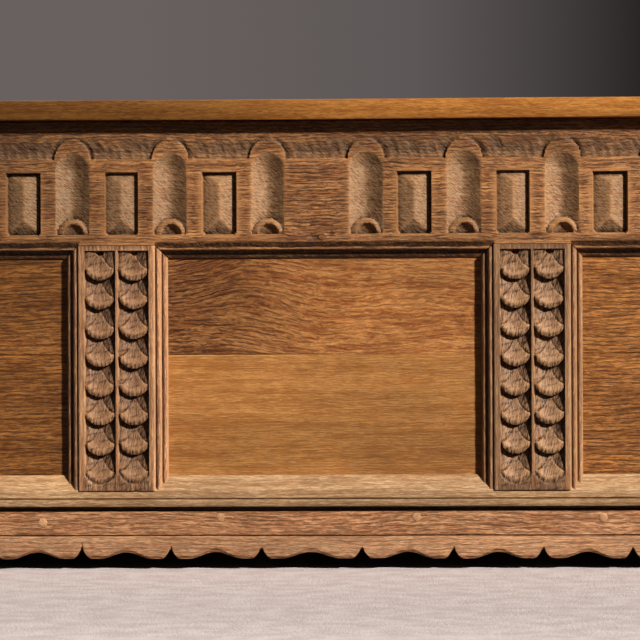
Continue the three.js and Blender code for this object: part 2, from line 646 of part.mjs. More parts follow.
function plainFrame(group, prefix, frame) {
  const { length, topRail, bottomRail, thickness, muntin, panels } = frame;
  const reach = length / 2 - FIT;
  const depth = [0, thickness];
  const pitch = (length - muntin * (panels - 1)) / panels + muntin;
  const muntins = evenly(panels - 1, pitch);
  const opening = [bottomRail[1], topRail[0]];
  const grooves = [
    block([-length, length], plainGroove, [topRail[0] - OVERRUN, topRail[0] + GROOVE_DEPTH]),
    block([-length, length], plainGroove, [bottomRail[1] - GROOVE_DEPTH, bottomRail[1] + OVERRUN]),
  ];
  const stub = muntin / 2 - TENON_SHOULDER;
  const stubLength = GROOVE_DEPTH + TENON_LENGTH / 2;
  const mortises = muntins.map((x) =>
    block(
      [x - stub - FIT, x + stub + FIT],
      plainGroove,
      [opening[0] - stubLength - FIT, opening[1] + stubLength + FIT],
    ),
  );
  const tenons = railTenons(frame);
  [["top_rail", topRail], ["bottom_rail", bottomRail]].forEach(([name, heights], i) => {
    const rail = block([-reach, reach], depth, heights);
    const tenon = block([-reach - TENON_LENGTH, reach + TENON_LENGTH], plainTenon, tenons[i]);
    let made = cut(join(cut(rail, grooves[i]), tenon), ...mortises);
    if (name === "bottom_rail") made = cut(made, floorGroove(length, thickness));
    place(group, prefix + name, made, OAK_DRY);
  });
  muntins.forEach((x, i) => {
    const sides = [x - muntin / 2, x + muntin / 2];
    const post = block(sides, depth, [opening[0] + FIT, opening[1] - FIT]);
    const slots = [
      block([sides[0] - OVERRUN, sides[0] + GROOVE_DEPTH], plainGroove, opening),
      block([sides[1] - GROOVE_DEPTH, sides[1] + OVERRUN], plainGroove, opening),
    ];
    const tongueEnds = [opening[0] - stubLength, opening[1] + stubLength];
    const tongue = block([x - stub, x + stub], plainTenon, tongueEnds);
    const name = prefix + (muntins.length > 1 ? "muntin_" + (i + 1) : "muntin");
    place(group, name, join(cut(post, ...slots), tongue), OAK_DRY);
  });
  const panelWidth = pitch - muntin;
  evenly(panels, pitch).forEach((x, i) => {
    const wide = [x - panelWidth / 2 - tuck, x + panelWidth / 2 + tuck];
    const panel = block(wide, plainTenon, [opening[0] - tuck, opening[1] + tuck]);
    place(group, prefix + "panel_" + (i + 1), panel, OAK_DRY);
  });
}

// The groove inside a plain bottom rail that the floor boards lie in.
function floorGroove(length, thickness) {
  const depth = [thickness - FLOOR_GROOVE_DEPTH, thickness + OVERRUN];
  return block([-length, length], depth, [floorBottom - FIT, floorTop + FIT]);
}

plainFrame(back, "back_", backFrame);
plainFrame(leftEnd, "left_end_", endFrame);
plainFrame(rightEnd, "right_end_", endFrame);

// The mortises and panel grooves that a frame needs in the posts at its two ends, moved from
// the frame's own group to the group that the posts are in.
function postCutters(group, length, groove, heights, opening) {
  const toFront = new THREE.Matrix4().copy(front.matrix).invert().multiply(group.matrix);
  const start = length / 2 - OVERRUN;
  const deep = (depth) => [-1, 1].map((side) => across(side, start, length / 2 + depth + FIT));
  const cutters = [
    ...deep(TENON_LENGTH).flatMap((range) =>
      heights.map(([z0, z1]) => block(range, groove, [z0 - FIT, z1 + FIT])),
    ),
    ...deep(GROOVE_DEPTH - FIT).map((range) => block(range, groove, opening)),
  ];
  return cutters.map((cutter) => cutter.transform(toFront.elements));
}

const openingOf = ({ topRail, bottomRail }) => [bottomRail[1] - GROOVE_DEPTH, topRail[0] + GROOVE_DEPTH];
const endCutters = [leftEnd, rightEnd].flatMap((group) =>
  postCutters(group, endLength, plainGroove, railTenons(endFrame), openingOf(endFrame)),
);

// A front post: the stile's plain block with its scales, and the moulded edge beside it,
// which is mitred into the top rail and scribed over the sill.
function frontPost(side) {
  const inner = shoulderLength / 2;
  const outer = bodyLength / 2;
  const [grooveFront, grooveBack] = frontGroove;
  const edge = inner - MOULDING_WIDTH;
  const stock = block([inner, outer], [0, POST_DEPTH], [0, bodyHeight]);
  const section = [
    [inner + OVERRUN, POST_DEPTH],
    [inner + OVERRUN, moulding[0][1]],
    ...moulding.map(([a, d]) => [inner - a, d]),
    [edge, grooveFront],
    [edge + GROOVE_DEPTH, grooveFront],
    [edge + GROOVE_DEPTH, grooveBack],
    [edge, grooveBack],
    [edge, POST_DEPTH],
  ];
  const outline = [
    [edge - OVERRUN, mitreTop - MOULDING_WIDTH - OVERRUN - FIT],
    [inner, mitreTop - FIT],
    [inner + OVERRUN, mitreTop - FIT],
    [inner + OVERRUN, beadBottom],
    [edge - OVERRUN, beadBottom],
  ];
  const trimmed = pushed(outline, "y", [-OVERRUN, POST_DEPTH + OVERRUN]);
  const strip = cut(
    pushed(section, "z", [beadBottom, mitreTop]),
    underSill(),
  ).intersect(trimmed);
  const carved = join(carveScales(stock, (inner + outer) / 2, 0), strip);
  const frontHeights = [
    [topRailBottom + TENON_SHOULDER + MOULDING_WIDTH, bodyHeight - TENON_SHOULDER],
    railTenonHeights,
  ];
  const mortises = frontHeights.map(([z0, z1]) =>
    block([inner - OVERRUN, inner + TENON_LENGTH + FIT], frontGroove, [z0 - FIT, z1 + FIT]),
  );
  const post = cut(carved, ...mortises);
  const placed = side < 0 ? post.mirror([1, 0, 0]) : post;
  return cut(placed, ...endCutters);
}

// A back post: a plain block with mortises for the back and the end.
function backPost(side) {
  const inner = bodyLength / 2 - backStile;
  const wide = across(side, inner, bodyLength / 2);
  const stock = block(wide, [BODY_DEPTH - POST_DEPTH, BODY_DEPTH], [0, bodyHeight]);
  const backCutters = postCutters(back, backLength, plainGroove, railTenons(backFrame), openingOf(backFrame));
  return cut(stock, ...backCutters, ...endCutters);
}

[["left", -1], ["right", 1]].forEach(([name, side]) => {
  place(front, "front_post_" + name, frontPost(side), OAK_PALE);
  place(front, "back_post_" + name, backPost(side), OAK_DRY);
});

// The floor: boards from front to back, their ends in the rails' grooves. The outer boards
// are notched round the posts and lie in the ends' rails too.

const floorTuck = FLOOR_GROOVE_DEPTH - FIT;
const floorReach = bodyLength / 2 - PLAIN_RAIL_THICKNESS + floorTuck;
const floorBoardPitch = (2 * floorReach) / FLOOR_BOARD_COUNT;
const floorDepth = [BOTTOM_RAIL_THICKNESS - floorTuck, BODY_DEPTH - PLAIN_RAIL_THICKNESS + floorTuck];
const postCorners = [-1, 1].flatMap((side) => {
  const wide = across(side, bodyLength / 2 - backStile - FIT, bodyLength);
  return [
    block(wide, [0, POST_DEPTH + FIT], [0, bodyHeight]),
    block(wide, [BODY_DEPTH - POST_DEPTH - FIT, BODY_DEPTH], [0, bodyHeight]),
  ];
});
evenly(FLOOR_BOARD_COUNT, floorBoardPitch).forEach((x, i) => {
  const half = (floorBoardPitch - FIT) / 2;
  const board = block([x - half, x + half], floorDepth, [floorBottom, floorTop]);
  place(front, "floor_board_" + (i + 1), cut(board, ...postCorners), OAK_DRY);
});

// The hinges: a leaf let into the lid's underside, a leaf on the back rail, and a pin

const axisDepth = BODY_DEPTH + KNUCKLE_GAP + KNUCKLE_RADIUS; // behind the front's face
const knuckleLength = (LEAF_WIDTH - 2 * KNUCKLE_GAP) / KNUCKLE_COUNT;
const hingePlaces = evenly(2, bodyLength - 2 * HINGE_INSET);

// A leaf's outline along its length: square at the knuckle and tapered to a blunt end.
function leafOutline(x, start, end, grow = 0) {
  const half = LEAF_WIDTH / 2 + grow;
  const away = Math.sign(end - start);
  const shoulder = end - away * LEAF_POINT;
  const tip = end + away * grow;
  const tipHalf = LEAF_TIP_WIDTH / 2 + grow;
  return [
    [x - half, start],
    [x + half, start],
    [x + half, shoulder],
    [x + tipHalf, tip],
    [x - tipHalf, tip],
    [x - half, shoulder],
  ];
}

// A stretch of the barrel, or of the room that it turns in.
const barrel = (range, radius = KNUCKLE_RADIUS) => bar(radius, "x", range, [axisDepth, bodyHeight]);
const turningRoom = ([from, to]) =>
  barrel([from - KNUCKLE_GAP, to + KNUCKLE_GAP], KNUCKLE_RADIUS + KNUCKLE_GAP);
const pinBore = (x) => barrel([x - LEAF_WIDTH, x + LEAF_WIDTH], HINGE_PIN_RADIUS + FIT);

const middleKnuckle = (x) => [x - knuckleLength / 2, x + knuckleLength / 2];
const outerKnuckles = (x) => [
  [x - LEAF_WIDTH / 2, x - LEAF_WIDTH / 2 + knuckleLength],
  [x + LEAF_WIDTH / 2 - knuckleLength, x + LEAF_WIDTH / 2],
];

function lidLeaf(x) {
  const outline = leafOutline(x, axisDepth, BODY_DEPTH - LID_LEAF_LENGTH);
  const plate = pushed(outline, "z", [lidBottom, lidBottom + LEAF_THICKNESS]);
  const leaf = join(cut(plate, turningRoom(middleKnuckle(x))), ...outerKnuckles(x).map((k) => barrel(k)));
  return cut(leaf, pinBore(x));
}

function backLeaf(x) {
  const outline = leafOutline(x, bodyHeight, bodyHeight - BACK_LEAF_LENGTH);
  const plate = pushed(outline, "y", [BODY_DEPTH + FIT, BODY_DEPTH + FIT + LEAF_THICKNESS]);
  const leaf = join(cut(plate, ...outerKnuckles(x).map(turningRoom)), barrel(middleKnuckle(x)));
  return cut(leaf, pinBore(x));
}

function hingePin(x) {
  const shank = LEAF_WIDTH / 2 + KNUCKLE_GAP;
  const heads = [
    [x - shank - HINGE_PIN_HEAD, x - shank],
    [x + shank, x + shank + HINGE_PIN_HEAD],
  ];
  return join(
    barrel([x - shank - HINGE_PIN_HEAD, x + shank + HINGE_PIN_HEAD], HINGE_PIN_RADIUS),
    ...heads.map((range) => barrel(range, HINGE_PIN_RADIUS + HINGE_PIN_HEAD)),
  );
}

// The recess for a lid leaf in the underside of the lid.
function leafRecess(x) {
  const outline = leafOutline(x, BODY_DEPTH + OVERRUN, BODY_DEPTH - LID_LEAF_LENGTH, FIT);
  return pushed(outline, "z", [lidBottom - OVERRUN, lidBottom + LEAF_THICKNESS + FIT]);
}

["left", "right"].forEach((side, i) => {
  const x = hingePlaces[i];
  place(front, "hinge_" + side + "_lid_leaf", lidLeaf(x), IRON);
  place(front, "hinge_" + side + "_back_leaf", backLeaf(x), IRON);
  place(front, "hinge_" + side + "_pin", hingePin(x), IRON);
});

// The lid: planks from end to end, the front one with a rounded edge, and a cleat under each
// end, outside the body

const lidDepth = LID_FRONT_OVERHANG + BODY_DEPTH;
const plankPitch = lidDepth / LID_PLANK_COUNT;

// A plank's section in depth and height, with a rounded front edge if it has a nose radius.
function plankSection(from, to, radius) {
  const lidTop = lidBottom + LID_THICKNESS;
  const corner = (z, start) =>
    Array.from({ length: SCALLOP_STEPS + 1 }, (_, i) => {
      const turn = start - (i / SCALLOP_STEPS) * (Math.PI / 2);
      return [from + radius + radius * Math.cos(turn), z + radius * Math.sin(turn)];
    });
  const nose = [...corner(lidBottom + radius, (3 / 2) * Math.PI), ...corner(lidTop - radius, Math.PI)];
  const square = [
    [from, lidBottom],
    [from, lidTop],
  ];
  return [[to, lidBottom], ...(radius > 0 ? nose : square), [to, lidTop]];
}

evenly(LID_PLANK_COUNT, plankPitch, lidDepth / 2 - LID_FRONT_OVERHANG).forEach((middle, i) => {
  const rear = i === LID_PLANK_COUNT - 1;
  const to = middle + plankPitch / 2 - (rear ? 0 : FIT);
  const section = plankSection(middle - plankPitch / 2, to, i === 0 ? LID_NOSE_RADIUS : 0);
  const plank = pushed(section, "x", [-lidLength / 2, lidLength / 2]);
  const name = rear ? "rear" : (["front", "middle"][i] ?? "middle_" + i);
  place(front, "lid_plank_" + name, cut(plank, ...hingePlaces.map(leafRecess)), OAK_GOLD);
});

[["left", -1], ["right", 1]].forEach(([name, side]) => {
  const inner = bodyLength / 2 + CLEAT_GAP;
  const wide = across(side, inner, inner + CLEAT_WIDTH);
  const depth = [CLEAT_SETBACK - LID_FRONT_OVERHANG, BODY_DEPTH];
  const cleat = block(wide, depth, [lidBottom - CLEAT_HEIGHT, lidBottom - FIT]);
  place(front, "lid_cleat_" + name, cleat, OAK_GOLD);
});

export default root;
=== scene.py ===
"""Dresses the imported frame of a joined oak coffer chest: its carved front, its plain back and
ends, its boarded floor and its plank lid, in worn and waxed oak with two iron hinges.

Every length is in metres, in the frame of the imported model: +X along the chest, +Y to its
back and +Z up. A depth is measured inwards from the plain face of the front frame.
"""

import logging
import math
from contextlib import contextmanager
from dataclasses import dataclass, field
from enum import Enum
from typing import Callable, Iterator, Sequence

import bpy
import numpy as np
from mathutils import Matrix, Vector


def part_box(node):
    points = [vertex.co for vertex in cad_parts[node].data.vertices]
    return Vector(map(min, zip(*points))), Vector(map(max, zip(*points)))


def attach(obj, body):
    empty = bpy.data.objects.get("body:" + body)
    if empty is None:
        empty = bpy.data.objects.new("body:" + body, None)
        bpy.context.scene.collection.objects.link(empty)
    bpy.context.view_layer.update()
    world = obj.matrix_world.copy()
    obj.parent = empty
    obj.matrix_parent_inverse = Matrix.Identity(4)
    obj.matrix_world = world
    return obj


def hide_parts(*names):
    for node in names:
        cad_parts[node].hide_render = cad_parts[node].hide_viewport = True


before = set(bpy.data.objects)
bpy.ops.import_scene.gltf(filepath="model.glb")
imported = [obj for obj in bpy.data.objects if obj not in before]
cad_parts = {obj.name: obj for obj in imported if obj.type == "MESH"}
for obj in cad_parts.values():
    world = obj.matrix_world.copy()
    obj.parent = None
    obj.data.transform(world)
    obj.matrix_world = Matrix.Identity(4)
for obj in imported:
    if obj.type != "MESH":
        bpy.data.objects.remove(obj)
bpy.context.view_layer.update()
LOG = logging.getLogger("coffer")

Array = np.ndarray
Object = bpy.types.Object
Material = bpy.types.Material
Socket = bpy.types.NodeSocket
Field = Callable[[Array, Array], Array]
Colour = tuple[float, float, float]
Place = tuple[float, float, float]

# How near points are that become one: in a new sheet, and in a copy of a CAD node.
ONE_POINT = 1e-6
ONE_CAD_POINT = 1e-5
# The clearance that a dressed piece keeps from its neighbours.
CLEARANCE = 0.0003


class Grain(Enum):
    """The way a timber's grain runs, as the turn that lays it along X."""

    ALONG = (0.0, 0.0, 0.0)
    UPRIGHT = (0.0, math.pi / 2, 0.0)
    INWARD = (0.0, 0.0, -math.pi / 2)


# Working with meshes


def pick(*objects: Object) -> None:
    """Selects only these objects and makes the first one active.

    Args:
        objects: The objects to select.
    """
    bpy.ops.object.select_all(action="DESELECT")
    for obj in objects:
        obj.select_set(True)
    bpy.context.view_layer.objects.active = objects[0]


@contextmanager
def editing(obj: Object) -> Iterator[None]:
    """Opens a mesh for editing with all of it selected, and closes it again at the end.

    Args:
        obj: The mesh object.

    Yields:
        Nothing, while the mesh is open.
    """
    pick(obj)
    bpy.ops.object.mode_set(mode="EDIT")
    bpy.ops.mesh.select_all(action="SELECT")
    yield
    bpy.ops.object.mode_set(mode="OBJECT")


def close_up() -> None:
    """Fills the holes of the mesh that is being edited and turns its faces outwards."""
    bpy.ops.mesh.fill_holes(sides=0)
    bpy.ops.mesh.select_all(action="SELECT")
    bpy.ops.mesh.normals_make_consistent(inside=False)


def added(name: str) -> Object:
    """Names the object that an operator has just added, and its mesh.

    Args:
        name: The name for both.

    Returns:
        The object.
    """
    obj = bpy.context.object
    obj.name = obj.data.name = name
    return obj


def points(obj: Object) -> Array:
    """Reads the vertices of a mesh.

    Args:
        obj: The mesh object.

    Returns:
        A row of x, y and z for each.
    """
    flat = np.empty(len(obj.data.vertices) * 3)
    obj.data.vertices.foreach_get("co", flat)
    return flat.reshape(-1, 3)


def move_points(obj: Object, places: Array) -> None:
    """Moves the vertices of a mesh to new places."""
    obj.data.vertices.foreach_set("co", np.ascontiguousarray(places, float).ravel())
    obj.data.update()


def set_mask(obj: Object, name: str, values: Array) -> None:
    """Stores a value from 0 to 1 at each vertex of a mesh, for its finish to read."""
    obj.data.attributes.new(name, "FLOAT", "POINT").data.foreach_set("value", values)


def smooth(obj: Object, degrees: float = 35.0) -> None:
    """Shades a mesh smooth, apart from the edges that turn by more than an angle."""
    pick(obj)
    bpy.ops.object.shade_smooth_by_angle(angle=math.radians(degrees))


def bevel(obj: Object, width: float, degrees: float = 40.0, segments: int = 2) -> None:
    """Rounds the edges of a mesh that turn by more than an angle.

    Args:
        obj: The mesh object.
        width: How far the rounding reaches from the edge.
        degrees: The least angle of an edge that is rounded.
        segments: How many faces the rounding has.
    """
    pick(obj)
    rounding = obj.modifiers.new("arris", "BEVEL")
    rounding.width = width
    rounding.segments = segments
    rounding.limit_method = "ANGLE"
    rounding.angle_limit = math.radians(degrees)
    rounding.use_clamp_overlap = True
    bpy.ops.object.modifier_apply(modifier=rounding.name)


def lines(*stretches: tuple[float, float, float]) -> Array:
    """Places grid lines along an axis.

    Args:
        stretches: Ranges with the widest step allowed in each, as (from, to, step). They follow
            each other.

    Returns:
        The places of the lines, in rising order.
    """
    placed = [np.array([stretches[0][0]])]
    for start, end, step in stretches:
        count = max(1, math.ceil((end - start) / step))
        placed.append(np.linspace(start, end, count + 1)[1:])
    return np.concatenate(placed)


def sheet_of(name: str, columns: int, rows: int) -> tuple[Object, Array, Array]:
    """Adds an open grid of faces.

    Args:
        name: The name of the new object.
        columns: How many vertices it has from side to side.
        rows: How many vertices it has from bottom to top.

    Returns:
        The object, and the column and the row of each of its vertices.
    """
    bpy.ops.object.select_all(action="DESELECT")
    bpy.ops.mesh.primitive_grid_add(x_subdivisions=columns - 1, y_subdivisions=rows - 1, size=2)
    obj = added(name)
    flat = points(obj)
    column = np.rint((flat[:, 0] + 1) / 2 * (columns - 1)).astype(int)
    row = np.rint((flat[:, 1] + 1) / 2 * (rows - 1)).astype(int)
    return obj, column, row


def swept(
    name: str, section: Sequence[tuple[float, float]], along: Array, wobble: float, seed: int
) -> Object:
    """Sweeps a closed section along X as a slightly uneven timber.

    Args:
        name: The name of the new object.
        section: The section's outline as points of y and z.
        along: The places along X.
        wobble: How far the surface wanders from true.
        seed: What the wandering is drawn from.

    Returns:
        The closed mesh object.
    """
    outline = np.array(section)
    obj, column, row = sheet_of(name, len(along), len(outline) + 1)
    ring = outline[row % len(outline)]
    x = along[column]
    drift = wander(x, ring[:, 1] + ring[:, 0], seed, wobble)
    move_points(obj, np.column_stack([x, ring[:, 0] + drift, ring[:, 1]]))
    with editing(obj):
        bpy.ops.mesh.remove_doubles(threshold=ONE_POINT)
        close_up()
    return obj


def dressed_copy(node: str, arris: float) -> Object:
    """Copies a CAD node as one clean timber with softened edges.

    Args:
        node: The name of the CAD node.
        arris: How far its edges are rounded.

    Returns:
        The new mesh object.
    """
    obj = bpy.data.objects.new(node + "_dressed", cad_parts[node].data.copy())
    bpy.context.scene.collection.objects.link(obj)
    obj.data.materials.clear()
    with editing(obj):
        bpy.ops.mesh.remove_doubles(threshold=ONE_CAD_POINT)
        bpy.ops.mesh.dissolve_limited(angle_limit=math.radians(1.0))
        bpy.ops.mesh.normals_make_consistent(inside=False)
    bevel(obj, arris)
    smooth(obj)
    return obj


def wander(x: Array, z: Array, seed: int, reach: float, span: float = 0.09) -> Array:
    """Gives a slow, smooth unevenness over a surface.

    Args:
        x: Places along the surface.
        z: Places up the surface.
        seed: What the unevenness is drawn from.
        reach: About how far it goes to either side of zero.
        span: About how long its waves are.

    Returns:
        The unevenness at each place.
    """
    rng = np.random.default_rng(seed)
    total = np.zeros_like(x)
    for share in (1.0, 0.6, 0.35):
        turn, slant = rng.uniform(0, 2 * math.pi, 2)
        beat = 2 * math.pi / (span * share)
        total += share * np.sin(beat * (x * math.cos(slant) + 1.7 * z * math.sin(slant)) + turn)
    return reach * total / 2


def nearest(x: Array, places: Array) -> tuple[Array, Array]:
    """Finds the nearest of some places, and how far each x is past it."""
    index = np.abs(x[..., None] - places).argmin(-1)
    return index, x - places[index]


# A carved face as a field of depths


class Relief:
    """A carved face over a grid of lines, whose points sink behind the face.

    Attributes:
        x: The place of each point from side to side.
        z: The height of each point.
        depth: How far each point lies behind the plain face.
        cut: How much of the surface at each point is the carver's, from 0 to 1.
        soil_and_shade: How dark each point is made, from 0 to 1: old dirt and painted shade.
        BLUR: How often the depths are averaged to find what stands out and what lies low.
        SHADED_SINK: How far below its surroundings a point is when its painted shade is full.
        WORN_RISE: How far above them it is when it is fully worn.
        LIT_WALL_SLOPE: How steep a wall facing the light on its right must be to get a painted highlight.
        INNER_DARKENING: How much darker the sides and the back of the timber are made.
    """

    BLUR = 14
    SHADED_SINK = 0.0036
    WORN_RISE = 0.0016
    LIT_WALL_SLOPE = 1.2
    INNER_DARKENING = 0.3

    def __init__(self, columns: Array, rows: Array) -> None:
        """Lays the grid out.

        Args:
            columns: The places of its upright lines.
            rows: The heights of its level lines.
        """
        self.columns, self.rows = columns, rows
        self.x, self.z = np.meshgrid(columns, rows)
        self.depth = np.zeros_like(self.x)
        self.cut = np.zeros_like(self.x)
        self.soil_and_shade = np.zeros_like(self.x)

    def snap(self, edge: Field, reach: float, wall: float = 0.0004) -> None:
        """Moves the points near a carved edge to its two sides, so that its wall is crisp.

        Args:
            edge: The signed distance from the edge, less than zero inside.
            reach: How near a point has to be to be moved.
            wall: How far apart the top and the bottom of the wall are.
        """
        step = 1e-5
        flattest = 0.2
        here = edge(self.x, self.z)
        across = (edge(self.x + step, self.z) - here) / step
        up = (edge(self.x, self.z + step) - here) / step
        steep = np.hypot(across, up)
        steep[steep < flattest] = 1.0
        distance = here / steep
        near = np.abs(distance) < reach
        near[:, [0, -1]] = False
        near[[0, -1], :] = False
        shift = np.where(near, np.where(distance < 0, -1, 1) * wall / 2 - distance, 0.0)
        self.x += shift * across / steep
        self.z += shift * up / steep

    def sink(
        self, inside: Array, depth: Array | float, cut: Array | float = 1.0
    ) -> None:
        """Takes the points where inside is true down to a depth, as the carver's own surface.

        Args:
            inside: Whether each point is inside the cut.
            depth: The depth that it is taken to.
            cut: How much the carver's surface it becomes, from 0 to 1.
        """
        self.depth = np.where(inside, depth, self.depth)
        self.cut = np.where(inside, cut, self.cut)

    def soften_sides(self, radius: float, left: bool = True, right: bool = True) -> None:
        """Wears the upright edges of the face round.

        Args:
            radius: How far from the edge the wear begins.
            left: Whether the left edge is worn.
            right: Whether the right edge is worn.
        """
        for worn, gap in ((left, self.x - self.x.min()), (right, self.x.max() - self.x)):
            if worn:
                near = np.clip(radius - gap, 0, radius)
                self.depth += radius - np.sqrt(radius**2 - near**2)

    def _blurred(self, times: int) -> Array:
        """Averages the depths with their neighbours.

        Args:
            times: How many times they are averaged.

        Returns:
            The averaged depths.
        """
        soft = self.depth
        for _ in range(times):
            padded = np.pad(soft, 1, mode="edge")
            soft = (padded[:-2, 1:-1] + padded[2:, 1:-1] + padded[1:-1, :-2] + padded[1:-1, 2:]) / 4
        return soft

    def build(self, name: str, face: float, back: float, mirror: bool = False) -> Object:
        """Makes the relief a closed timber.

        Args:
            name: The name of the new object.
            face: The Y of the plain face.
            back: The depth of the timber's flat back.
            mirror: Whether left and right change places.

        Returns:
            The mesh object, with its hollow, worn and cut attributes.
        """
        # Points below their surroundings darken, a painted shade in the recesses; walls facing the light on
        # the right lose that shade and brighten in the worn mask, a painted highlight.
        rise = self._blurred(self.BLUR) - self.depth
        steep = np.gradient(self.depth, axis=1) / np.maximum(np.gradient(self.x, axis=1), 1e-5)
        lit_wall = np.clip((-steep if mirror else steep) - self.LIT_WALL_SLOPE, 0, 1)
        hollow = np.clip(np.maximum(-rise / self.SHADED_SINK, -0.15) + self.soil_and_shade, 0, 1)
        masks = {
            "hollow": hollow * (1 - 0.85 * lit_wall),
            "worn": np.maximum(np.clip(rise / self.WORN_RISE, 0, 1), 1.5 * lit_wall),
            "cut": self.cut,
        }
        obj, column, row = sheet_of(name, len(self.columns), len(self.rows))
        front = np.column_stack(
            [self.x[row, column], face + self.depth[row, column], self.z[row, column]]
        )
        move_points(obj, front)
        with editing(obj):
            bpy.ops.mesh.region_to_loop()
            bpy.ops.mesh.extrude_edges_move()
        places = points(obj)
        places[len(front):, 1] = face + back
        if mirror:
            places[:, 0] *= -1
        move_points(obj, places)
        with editing(obj):
            close_up()
        for mask, values in masks.items():
            flat = np.full(len(obj.data.vertices), self.INNER_DARKENING if mask == "hollow" else 0.0)
            flat[: len(front)] = values[row, column]
            set_mask(obj, mask, flat)
        smooth(obj, 38.0)
        return obj


def rounded_box(
    dx: Array, dz: Array, half: Array | float, tall: Array | float, corner: Array | float
) -> Array:
    """Measures how far points lie outside a rectangle with rounded corners.

    Args:
        dx: The places from side to side, from its middle.
        dz: The heights, from its middle.
        half: Half its width.
        tall: Half its height.
        corner: The radius of its corners.

    Returns:
        The distance of each point, less than zero inside.
    """
    a, b = np.abs(dx) - half + corner, np.abs(dz) - tall + corner
    return np.hypot(np.maximum(a, 0), np.maximum(b, 0)) + np.minimum(np.maximum(a, b), 0) - corner


# The finishes


def srgb(code: str) -> Colour:
    """Turns a colour code into linear light.

    Args:
        code: Six digits for red, green and blue.

    Returns:
        The colour as linear red, green and blue.
    """
    parts = [int(code[i : i + 2], 16) / 255 for i in (0, 2, 4)]
    linear = [c / 12.92 if c <= 0.04045 else ((c + 0.055) / 1.055) ** 2.4 for c in parts]
    return (linear[0], linear[1], linear[2])


class Recipe:
    """The nodes of a material or of the world, put together with short calls."""

    def __init__(self, owner: Material | bpy.types.World) -> None:
        """Empties the nodes of a material or a world.

        Args:
            owner: What the nodes belong to.
        """
        self.owner = owner
        owner.use_nodes = True
        self.tree = owner.node_tree
        self.tree.nodes.clear()

    def node(self, kind: str, sockets: dict | None = None, **settings: object) -> bpy.types.Node:
        """Adds a node.

        Args:
            kind: The node's type, without its ShaderNode prefix.
            sockets: Inputs by name or number, each a value or the socket that feeds it.
            settings: The node's own settings.

        Returns:
            The new node.
        """
        made = self.tree.nodes.new("ShaderNode" + kind)
        for key, value in settings.items():
            setattr(made, key, value)
        for key, value in (sockets or {}).items():
            if isinstance(value, Socket):
                self.tree.links.new(value, made.inputs[key])
            else:
                made.inputs[key].default_value = value
        return made

    def maths(self, operation: str, a: object, b: object) -> Socket:
        """Returns the result of a sum on two values."""
        return self.node("Math", {0: a, 1: b}, operation=operation).outputs[0]

    def times(self, a: object, b: object) -> Socket:
        """Returns the product of two values."""
        return self.maths("MULTIPLY", a, b)

    def vectors(self, operation: str, *terms: object) -> Socket:
        """Returns the result of a sum on vectors."""
        return self.node("VectorMath", dict(enumerate(terms)), operation=operation).outputs[0]

    def noise(self, vector: object, scale: float, detail: float = 2.0, rough: float = 0.5) -> Socket:
        """Returns a cloudy value from 0 to 1 over the coordinates."""
        values = {"Vector": vector, "Scale": scale, "Detail": detail, "Roughness": rough}
        return self.node("TexNoise", values).outputs["Fac"]

    def stretched(self, vector: object, along: float, across: float) -> Socket:
        """Returns coordinates counted per metre along and across the grain."""
        return self.node("Mapping", {"Vector": vector, "Scale": (along, across, across)}).outputs[0]

    def between(
        self, value: object, low: float, high: float, to: tuple[float, float] = (0.0, 1.0)
    ) -> Socket:
        """Spreads a value from one range to another, smoothly and held at its ends.

        Args:
            value: The value.
            low: Where its range begins.
            high: Where it ends.
            to: The range that it is spread to.

        Returns:
            The resulting value.
        """
        values = {"Value": value, 1: low, 2: high, 3: to[0], 4: to[1]}
        return self.node("MapRange", values, interpolation_type="SMOOTHSTEP").outputs[0]

    def mix(self, share: object, first: object, second: object, blend: str = "MIX") -> Socket:
        """Lays one colour over another.

        Args:
            share: How much of the second colour shows.
            first: The colour below.
            second: The colour above.
            blend: How the second colour is laid on.

        Returns:
            The resulting colour.
        """
        below, above = [(*c, 1.0) if isinstance(c, tuple) else c for c in (first, second)]
        made = self.node("Mix", {0: share, 6: below, 7: above}, data_type="RGBA", blend_type=blend)
        return made.outputs[2]

    def bump(self, height: Socket, strength: float, distance: float) -> Socket:
        """Returns the normal of a surface that rises by a distance, in metres, where height is 1."""
        values = {"Height": height, "Strength": strength, "Distance": distance}
        return self.node("Bump", values).outputs[0]

    def dimmed(self, colour: object, value: Socket) -> Socket:
        """Returns a colour multiplied by a value."""
        grey = self.node("CombineColor", {0: value, 1: value, 2: value}).outputs[0]
        return self.mix(1.0, colour, grey, "MULTIPLY")

    def attribute(self, name: str) -> Socket:
        """Returns a value that the mesh carries at its points."""
        return self.node("Attribute", attribute_name=name).outputs["Fac"]

    def place(self) -> Socket:
        """Returns the coordinates of the object, in metres."""
        return self.node("TexCoord").outputs["Object"]

    def axes(self) -> bpy.types.bpy_prop_collection:
        """Returns the same coordinates one by one, as X, Y and Z."""
        return self.node("SeparateXYZ", {0: self.place()}).outputs

    def seen(self) -> Socket:
        """Tells where a surface is looked at: by itself, mirrored or through glass.

        Returns:
            1 there, and otherwise 0.
        """
        path = self.node("LightPath").outputs
        shows = self.maths("MAXIMUM", path["Is Camera Ray"], path["Is Glossy Ray"])
        return self.maths("MAXIMUM", shows, path["Is Transmission Ray"])

    def show(self, shader: bpy.types.Node, output: str = "OutputMaterial") -> None:
        """Makes a shader what the material or the world shows."""
        self.node(output, {0: shader.outputs[0]})


